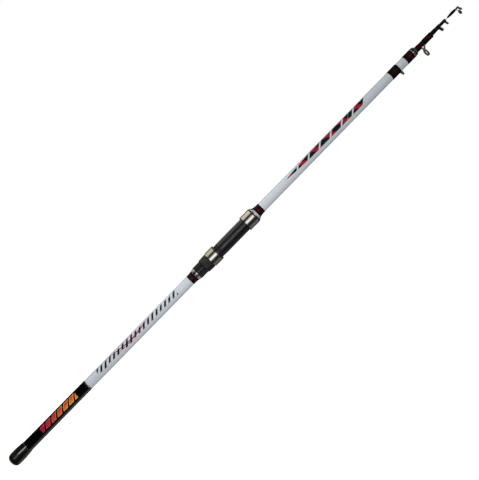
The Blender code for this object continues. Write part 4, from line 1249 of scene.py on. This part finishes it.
# %% Ceramic and guide metal
ceramic, tree, skin = new_material("ring_ceramic", {"Specular IOR Level": 0.7})
cloud = noise(object_place(tree), 400.0, 3.0)
tone = mix(cloud, (0.045, 0.040, 0.039), (0.068, 0.061, 0.058))
dress(skin, tone, ramp(cloud, 0.3, 0.7, 0.06, 0.12), bump(cloud, 0.004, 0.4))


def metal_material(name, constants, low_tint, high_tint, clean, touched, sleeve_tint=None):
    """Cast guide metal, which may have another tint close to the rod, where its sleeve is."""
    made, tree, skin = new_material(name, constants)
    marks = use(tree, handling, {"Size": 0.5})
    cloud = noise(object_place(tree), 900.0, 3.0)
    tone = mix(cloud, low_tint, high_tint)
    if sleeve_tint:
        beyond_sleeve = ramp(use(tree, rod_place)["Radius"], 3.8, 4.3)
        tone = mix(beyond_sleeve, sleeve_tint, tone)
    dress(skin, tone, smudged(marks, clean, touched), bump(cloud, 0.008, 0.5))
    return made


guide_metal = metal_material("guide_metal", {"Metallic": 0.65}, (0.19, 0.18, 0.17), (0.29, 0.275, 0.26),
                             0.22, 0.34)
black_metal = metal_material("black_metal", {"Specular IOR Level": 0.35}, (0.020, 0.019, 0.018),
                             (0.034, 0.032, 0.030), 0.25, 0.38, (0.0050, 0.0048, 0.0048))

# %% Where the rings are
GUIDES = {  # bore in millimetres, lean and turn in degrees, and width in millimetres
    "butt_guide": (14.0, -8, 0, 3.2),
    "second_guide": (9.4, 0, 3.8, 3.6),
    "third_guide": (4.2, -12, 0, 3.8),
    "fourth_guide": (3.6, -16, 0, 2.3),
    "floating_guide": (4.6, 0, 0, 3.2),
    "tip_top": (4.0, -24, 0, 2.4),
}


def rotation(degrees, axis):
    """A turn about one axis."""
    return Matrix.Rotation(math.radians(degrees), 4, axis)


def ring_middle(name):
    """The middle of a guide's ring, and how far round from the reel's side the guide stands."""
    low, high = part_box(f"{name}_ring")
    centre = (low + high) / 2
    return centre, Matrix.Rotation(math.atan2(centre.y, centre.x) - REEL_SIDE, 4, "Z")


def ring_place(name):
    """Where a guide's ring sits, and how it is turned."""
    _, lean, turn, _ = GUIDES[name]
    centre, twist = ring_middle(name)
    return Matrix.Translation(centre) @ twist @ rotation(turn, "Y") @ rotation(lean, "X")


print(f"{len(GUIDES)} guides")

# %% Rings
FRAME_SHARE = 0.84
INLAY_FLAT = 0.75


def ring_sizes(name):
    """Bore, outer radius of the ceramic, then the inner and outer radius of the frame's ring."""
    bore = GUIDES[name][0]
    inlay = bore / 2 + 0.7 + 0.05 * bore
    return bore / 2, inlay, inlay + 0.1, inlay + 0.5 + 0.018 * bore


def ceramic_ring(name):
    """A ring with a rounded bore and a flat outer side."""
    bore_r, inlay, _, _ = ring_sizes(name)
    half = GUIDES[name][3] / 2
    points = []
    for k in range(20):
        a = 2 * math.pi * k / 20
        slope = max(INLAY_FLAT - math.cos(a), 0.0) / (1 + INLAY_FLAT)
        points.append((inlay - (inlay - bore_r) * slope, half * math.sin(a)))
    bm = turned(points, 72)
    bmesh.ops.transform(bm, matrix=ring_place(name), verts=bm.verts)
    finish_piece(f"{name}_ring", bm, ceramic, 60)


def frame_ring(bm, name):
    """Adds the frame's ring, with rounded outer edges, to a mesh."""
    _, _, inner, outer = ring_sizes(name)
    half = GUIDES[name][3] / 2 * FRAME_SHARE
    ring = turned([(inner, -half), (outer, -half), (outer, half), (inner, half)], 72)
    join(bm, soften(ring, 0.28, 40, 4), ring_place(name))


def join(bm, other, place):
    """Adds one mesh to another at a place, and frees it."""
    bmesh.ops.transform(other, matrix=place, verts=other.verts)
    mesh = bpy.data.meshes.new("joined")
    other.to_mesh(mesh)
    other.free()
    bm.from_mesh(mesh)
    bpy.data.meshes.remove(mesh)


print("ring helpers ready")

# %% [markdown]
# ## Wire legs
#
# The legs are bent from round wire and brazed on. A wire is a smooth curve with a round bevel,
# turned into a mesh, with a small bead of braze at each end. Points are given in millimetres in
# the guide's own frame: across, out from the rod, and up, with 0 at the height of the ring.

# %% Wires
BEAD_SHARE = 1.18


def guide_frame(name):
    """Turns a guide's own frame (across, out, up) into the rod's frame."""
    centre, twist = ring_middle(name)
    return Matrix.Translation((0, 0, centre.z)) @ twist


def wire(bm, place, points, radius):
    """Adds a smooth round wire with beads at its ends, through (across, out, up) points."""
    spots = [Vector((x * MM, -out * MM, up * MM)) for x, out, up in points]
    curve = bpy.data.curves.new("wire", "CURVE")
    curve.dimensions = "3D"
    curve.bevel_depth = radius * MM
    curve.bevel_resolution = 4
    curve.resolution_u = 8
    curve.use_fill_caps = True
    line = curve.splines.new("BEZIER")
    line.bezier_points.add(len(spots) - 1)
    for point, spot in zip(line.bezier_points, spots):
        point.co = place @ spot
        point.handle_left_type = "AUTO"
        point.handle_right_type = "AUTO"
    drawn = bpy.data.objects.new("wire", curve)
    scene.collection.objects.link(drawn)
    evaluated = drawn.evaluated_get(bpy.context.evaluated_depsgraph_get())
    mesh = bpy.data.meshes.new_from_object(evaluated)
    bm.from_mesh(mesh)
    bpy.data.objects.remove(drawn)
    bpy.data.curves.remove(curve)
    bpy.data.meshes.remove(mesh)
    for spot in (spots[0], spots[-1]):
        bmesh.ops.create_uvsphere(bm, u_segments=16, v_segments=10, radius=radius * BEAD_SHARE * MM,
                                  matrix=place @ Matrix.Translation(spot))


def hoop_spot(name, degrees):
    """A point in the wall of the frame's ring, by its angle from the side nearest the rod."""
    _, _, inner, outer = ring_sizes(name)
    r = (inner + outer) / 2 * MM
    a = math.radians(degrees)
    spot = Vector((r * math.sin(a), r * math.cos(a), 0))
    spot = guide_frame(name).inverted() @ ring_place(name) @ spot
    return spot.x / MM, -spot.y / MM, spot.z / MM


print("wires ready")

# %% Feet
def foot_bar(bm, name, inner, low, high, width, thick):
    """Adds a flat foot that lies on the tube between two heights, thinned at its lower end."""
    ring_z = ring_middle(name)[0].z / MM
    middle = (low + high) / 2 - ring_z
    out = inner + thick / 2
    bar = bmesh.new()
    bmesh.ops.create_cube(bar, size=1.0)
    bmesh.ops.scale(bar, vec=(width * MM, thick * MM, (high - low) * MM), verts=bar.verts)
    bmesh.ops.translate(bar, vec=(0, -out * MM, middle * MM), verts=bar.verts)
    for vert in bar.verts:
        if vert.co.y < -out * MM and vert.co.z < middle * MM:
            vert.co.y += thick * 0.45 * MM
    join(bm, soften(bar, 0.25, 40), guide_frame(name))


print("feet ready")

# %% [markdown]
# ## Butt guide
#
# The largest guide stands on the reel's side, hidden in part by the tube: one foot under the
# wrap, two legs that spread up to the ring, which leans a little towards the tip.

# %% Butt guide
place = guide_frame("butt_guide")
bm = bmesh.new()
frame_ring(bm, "butt_guide")
foot_bar(bm, "butt_guide", 8.29, 933.7, 952.6, 3.4, 1.0)
for side in (-1, 1):
    leg = [(side * 0.8, 8.76, -4.6), (side * 1.1, 9.6, -3.6), (side * 2.6, 11.9, -1.8)]
    wire(bm, place, leg + [hoop_spot("butt_guide", side * 48)], 0.95)
finish_piece("butt_guide_frame", bm, guide_metal, 50)
ceramic_ring("butt_guide")

# %% [markdown]
# ## Second guide
#
# It stands clear of the rod on an upright leg and two slanting braces, and has a foot at each
# end, one under a dark red wrap and one under a black wrap with a red spot.

# %% Second guide
place = guide_frame("second_guide")
bm = bmesh.new()
frame_ring(bm, "second_guide")
foot_bar(bm, "second_guide", 4.594, 996.3, 1024.3, 2.2, 0.7)
wire(bm, place, [(0, 5.35, -0.7), (0, 7.0, -0.35), hoop_spot("second_guide", 0)], 1.45)
for side in (-1, 1):
    brace = [(side * 0.5, 5.2, 7.0), (side * 1.2, 7.1, 4.2)]
    wire(bm, place, brace + [hoop_spot("second_guide", side * 35)], 1.3)
finish_piece("second_guide_frame", bm, guide_metal, 50)
ceramic_ring("second_guide")

# %% The second guide's wraps
SECOND_SIDE = REEL_SIDE - math.radians(75)
SECOND_FOOT = ((1.05, 17.0, 30.0), (1.0, 19.0, 46.0))

red_thread = thread_material("red_thread", [(996.6, 1002.0, 0.8)], (0.010, 0.002, 0.003),
                             (0.055, 0.0020, 0.0035))
wrap_piece("second_lower_wrap", second_surface, 0.4, red_thread, 96, SECOND_FOOT, SECOND_SIDE, 0.5)
upper_band = thread_material("second_upper_thread", [(1021.8, 1025.2, 0.6)])
wrap_piece("second_upper_wrap", second_surface, 0.4, upper_band, 96, SECOND_FOOT, SECOND_SIDE, 0.8)

# %% [markdown]
# ## Sleeve guides
#
# On the thin sections a guide is a short metal sleeve with the ring brazed to it on a post. The
# sleeve has a rolled lip at each end. The third and fourth guides also have two braces from the
# ring down to the sleeve, and the floating guide's sleeve wears a black coat that swells towards
# its middle, like a spindle.

# %% Sleeve guides
FLOATING_BORE_R = 1.0242
FLOATING_LOW = 1071.6
FLOATING_HIGH = 1092.2
FLOATING_WALL = 0.4


def sleeve_guide(name, low, high, surface, wall, post_r, post_drop, brace_drop=0.0, top_share=1.0):
    """A sleeve, its post and braces, the ring's frame and the ceramic ring."""
    inner = surface(low) + GLUE
    top_inner = surface(high) + GLUE
    top_wall = wall * top_share
    profile = [(top_inner, high), (top_inner + top_wall, high), (top_inner + top_wall, high - 0.5),
               (top_inner + top_wall * 0.8, high - 0.7), (inner + wall * 0.8, low + 0.7),
               (inner + wall, low + 0.5), (inner + wall, low), (inner, low)]
    bm = soften(turned(profile, 72), 0.08, 30, 2)
    frame_ring(bm, name)
    place = guide_frame(name)
    root = surface(ring_middle(name)[0].z / MM) + GLUE + wall * 0.6
    spot = hoop_spot(name, 0)
    middle = (0, (root + spot[1]) / 2, (spot[2] - post_drop) / 2 - 0.1)
    wire(bm, place, [(0, root, -post_drop), middle, spot], post_r)
    if brace_drop:
        for side in (-1, 1):
            wire(bm, place, [(side * 0.4, root, -brace_drop), hoop_spot(name, side * 40)], post_r * 0.8)
    finish_piece(f"{name}_frame", bm, black_metal, 50)
    ceramic_ring(name)


sleeve_guide("third_guide", 1042.1, 1052.4, third_surface, 0.42, 1.0, 0.3, 3.6, 0.4)
sleeve_guide("fourth_guide", 1059.4, 1066.2, fourth_surface, 0.75, 0.8, 1.2, 2.4)
sleeve_guide("floating_guide", FLOATING_LOW, FLOATING_HIGH, lambda z: FLOATING_BORE_R - GLUE,
             FLOATING_WALL, 0.6, 2.2)

# %% The floating guide's coat
COAT_GAP = 0.02

small_thread = thread_material("small_thread")
inner = FLOATING_BORE_R + FLOATING_WALL + COAT_GAP
spindle = FLOATING_HIGH - FLOATING_LOW - 2.0
coat_points = [(inner, FLOATING_HIGH - 0.6), (1.75, FLOATING_HIGH - 0.7)]
for a in range(135, -1, -9):
    swollen_r = inner + 0.08 + 1.02 * math.sin(math.radians(a))
    coat_points.append((swollen_r, FLOATING_HIGH - 1.0 - spindle * (1 - a / 150)))
coat_points += [(inner, FLOATING_LOW + 0.8)]
finish_piece("floating_guide_frame", turned(coat_points, 56), small_thread, 50, "floating_guide_coat",
             "black_gloss")

# %% Wraps below the sleeves
wrap_piece("third_guide_wrap", third_surface, 0.72, small_thread, 72, end_length=0.8,
           longer=ends("third_guide_wrap")[0] - 1032.6)
wrap_piece("fourth_guide_wrap", fourth_surface, 0.7, small_thread, 72, end_length=0.8,
           longer=ends("fourth_guide_wrap")[0] - 1053.2)

# %% [markdown]
# ## Tip top
#
# The end guide is a closed tube glued on the tip, with its ring leant forward over the end on
# two struts, so that the line runs off without catching. A black coat covers the tube.

# %% Tip top
TUBE_LOW = 1092.8
TUBE_FLOOR = 1098.35
TUBE_TOP = TUBE_FLOOR + 0.4
TUBE_BORE_R = tip_surface(TUBE_LOW) + GLUE
TUBE_R = TUBE_BORE_R + 0.6

tube_points = [(0.0, TUBE_TOP), (TUBE_R, TUBE_TOP), (TUBE_R, TUBE_LOW), (TUBE_BORE_R, TUBE_LOW),
               (TUBE_BORE_R, TUBE_FLOOR), (0.0, TUBE_FLOOR)]
bm = soften(turned(tube_points, 56), 0.12, 40)
frame_ring(bm, "tip_top")
root = TUBE_LOW + 1.2 - ring_middle("tip_top")[0].z / MM
for side in (-1, 1):
    strut = [(side * TUBE_R * 0.6, TUBE_R * 0.4, root)]
    strut += [(side * TUBE_R * 1.25, TUBE_R * 0.9, root * 0.55)]
    wire(bm, guide_frame("tip_top"), strut + [hoop_spot("tip_top", side * 95)], 0.4)
finish_piece("tip_top_frame", bm, guide_metal, 50)
ceramic_ring("tip_top")

# %% The tip top's coat
coat = ((COAT_GAP, 4.6), (0.22, 4.4), (0.30, 2.6), (0.26, 0.6), (COAT_GAP, 0.3))
bm = turned([(TUBE_R + build, TUBE_LOW + up) for build, up in coat], 56)
finish_piece("tip_top_frame", bm, small_thread, 50, "tip_top_coat", "black_gloss")

# %% [markdown]
# ## Print the sizes
#
# The number of pieces and the box of what is shown are printed, in millimetres.

# %% Sizes and finish
low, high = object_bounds()
print(f"{len(made_pieces)} pieces, visual box {[round(v / MM, 2) for v in high - low]} mm")
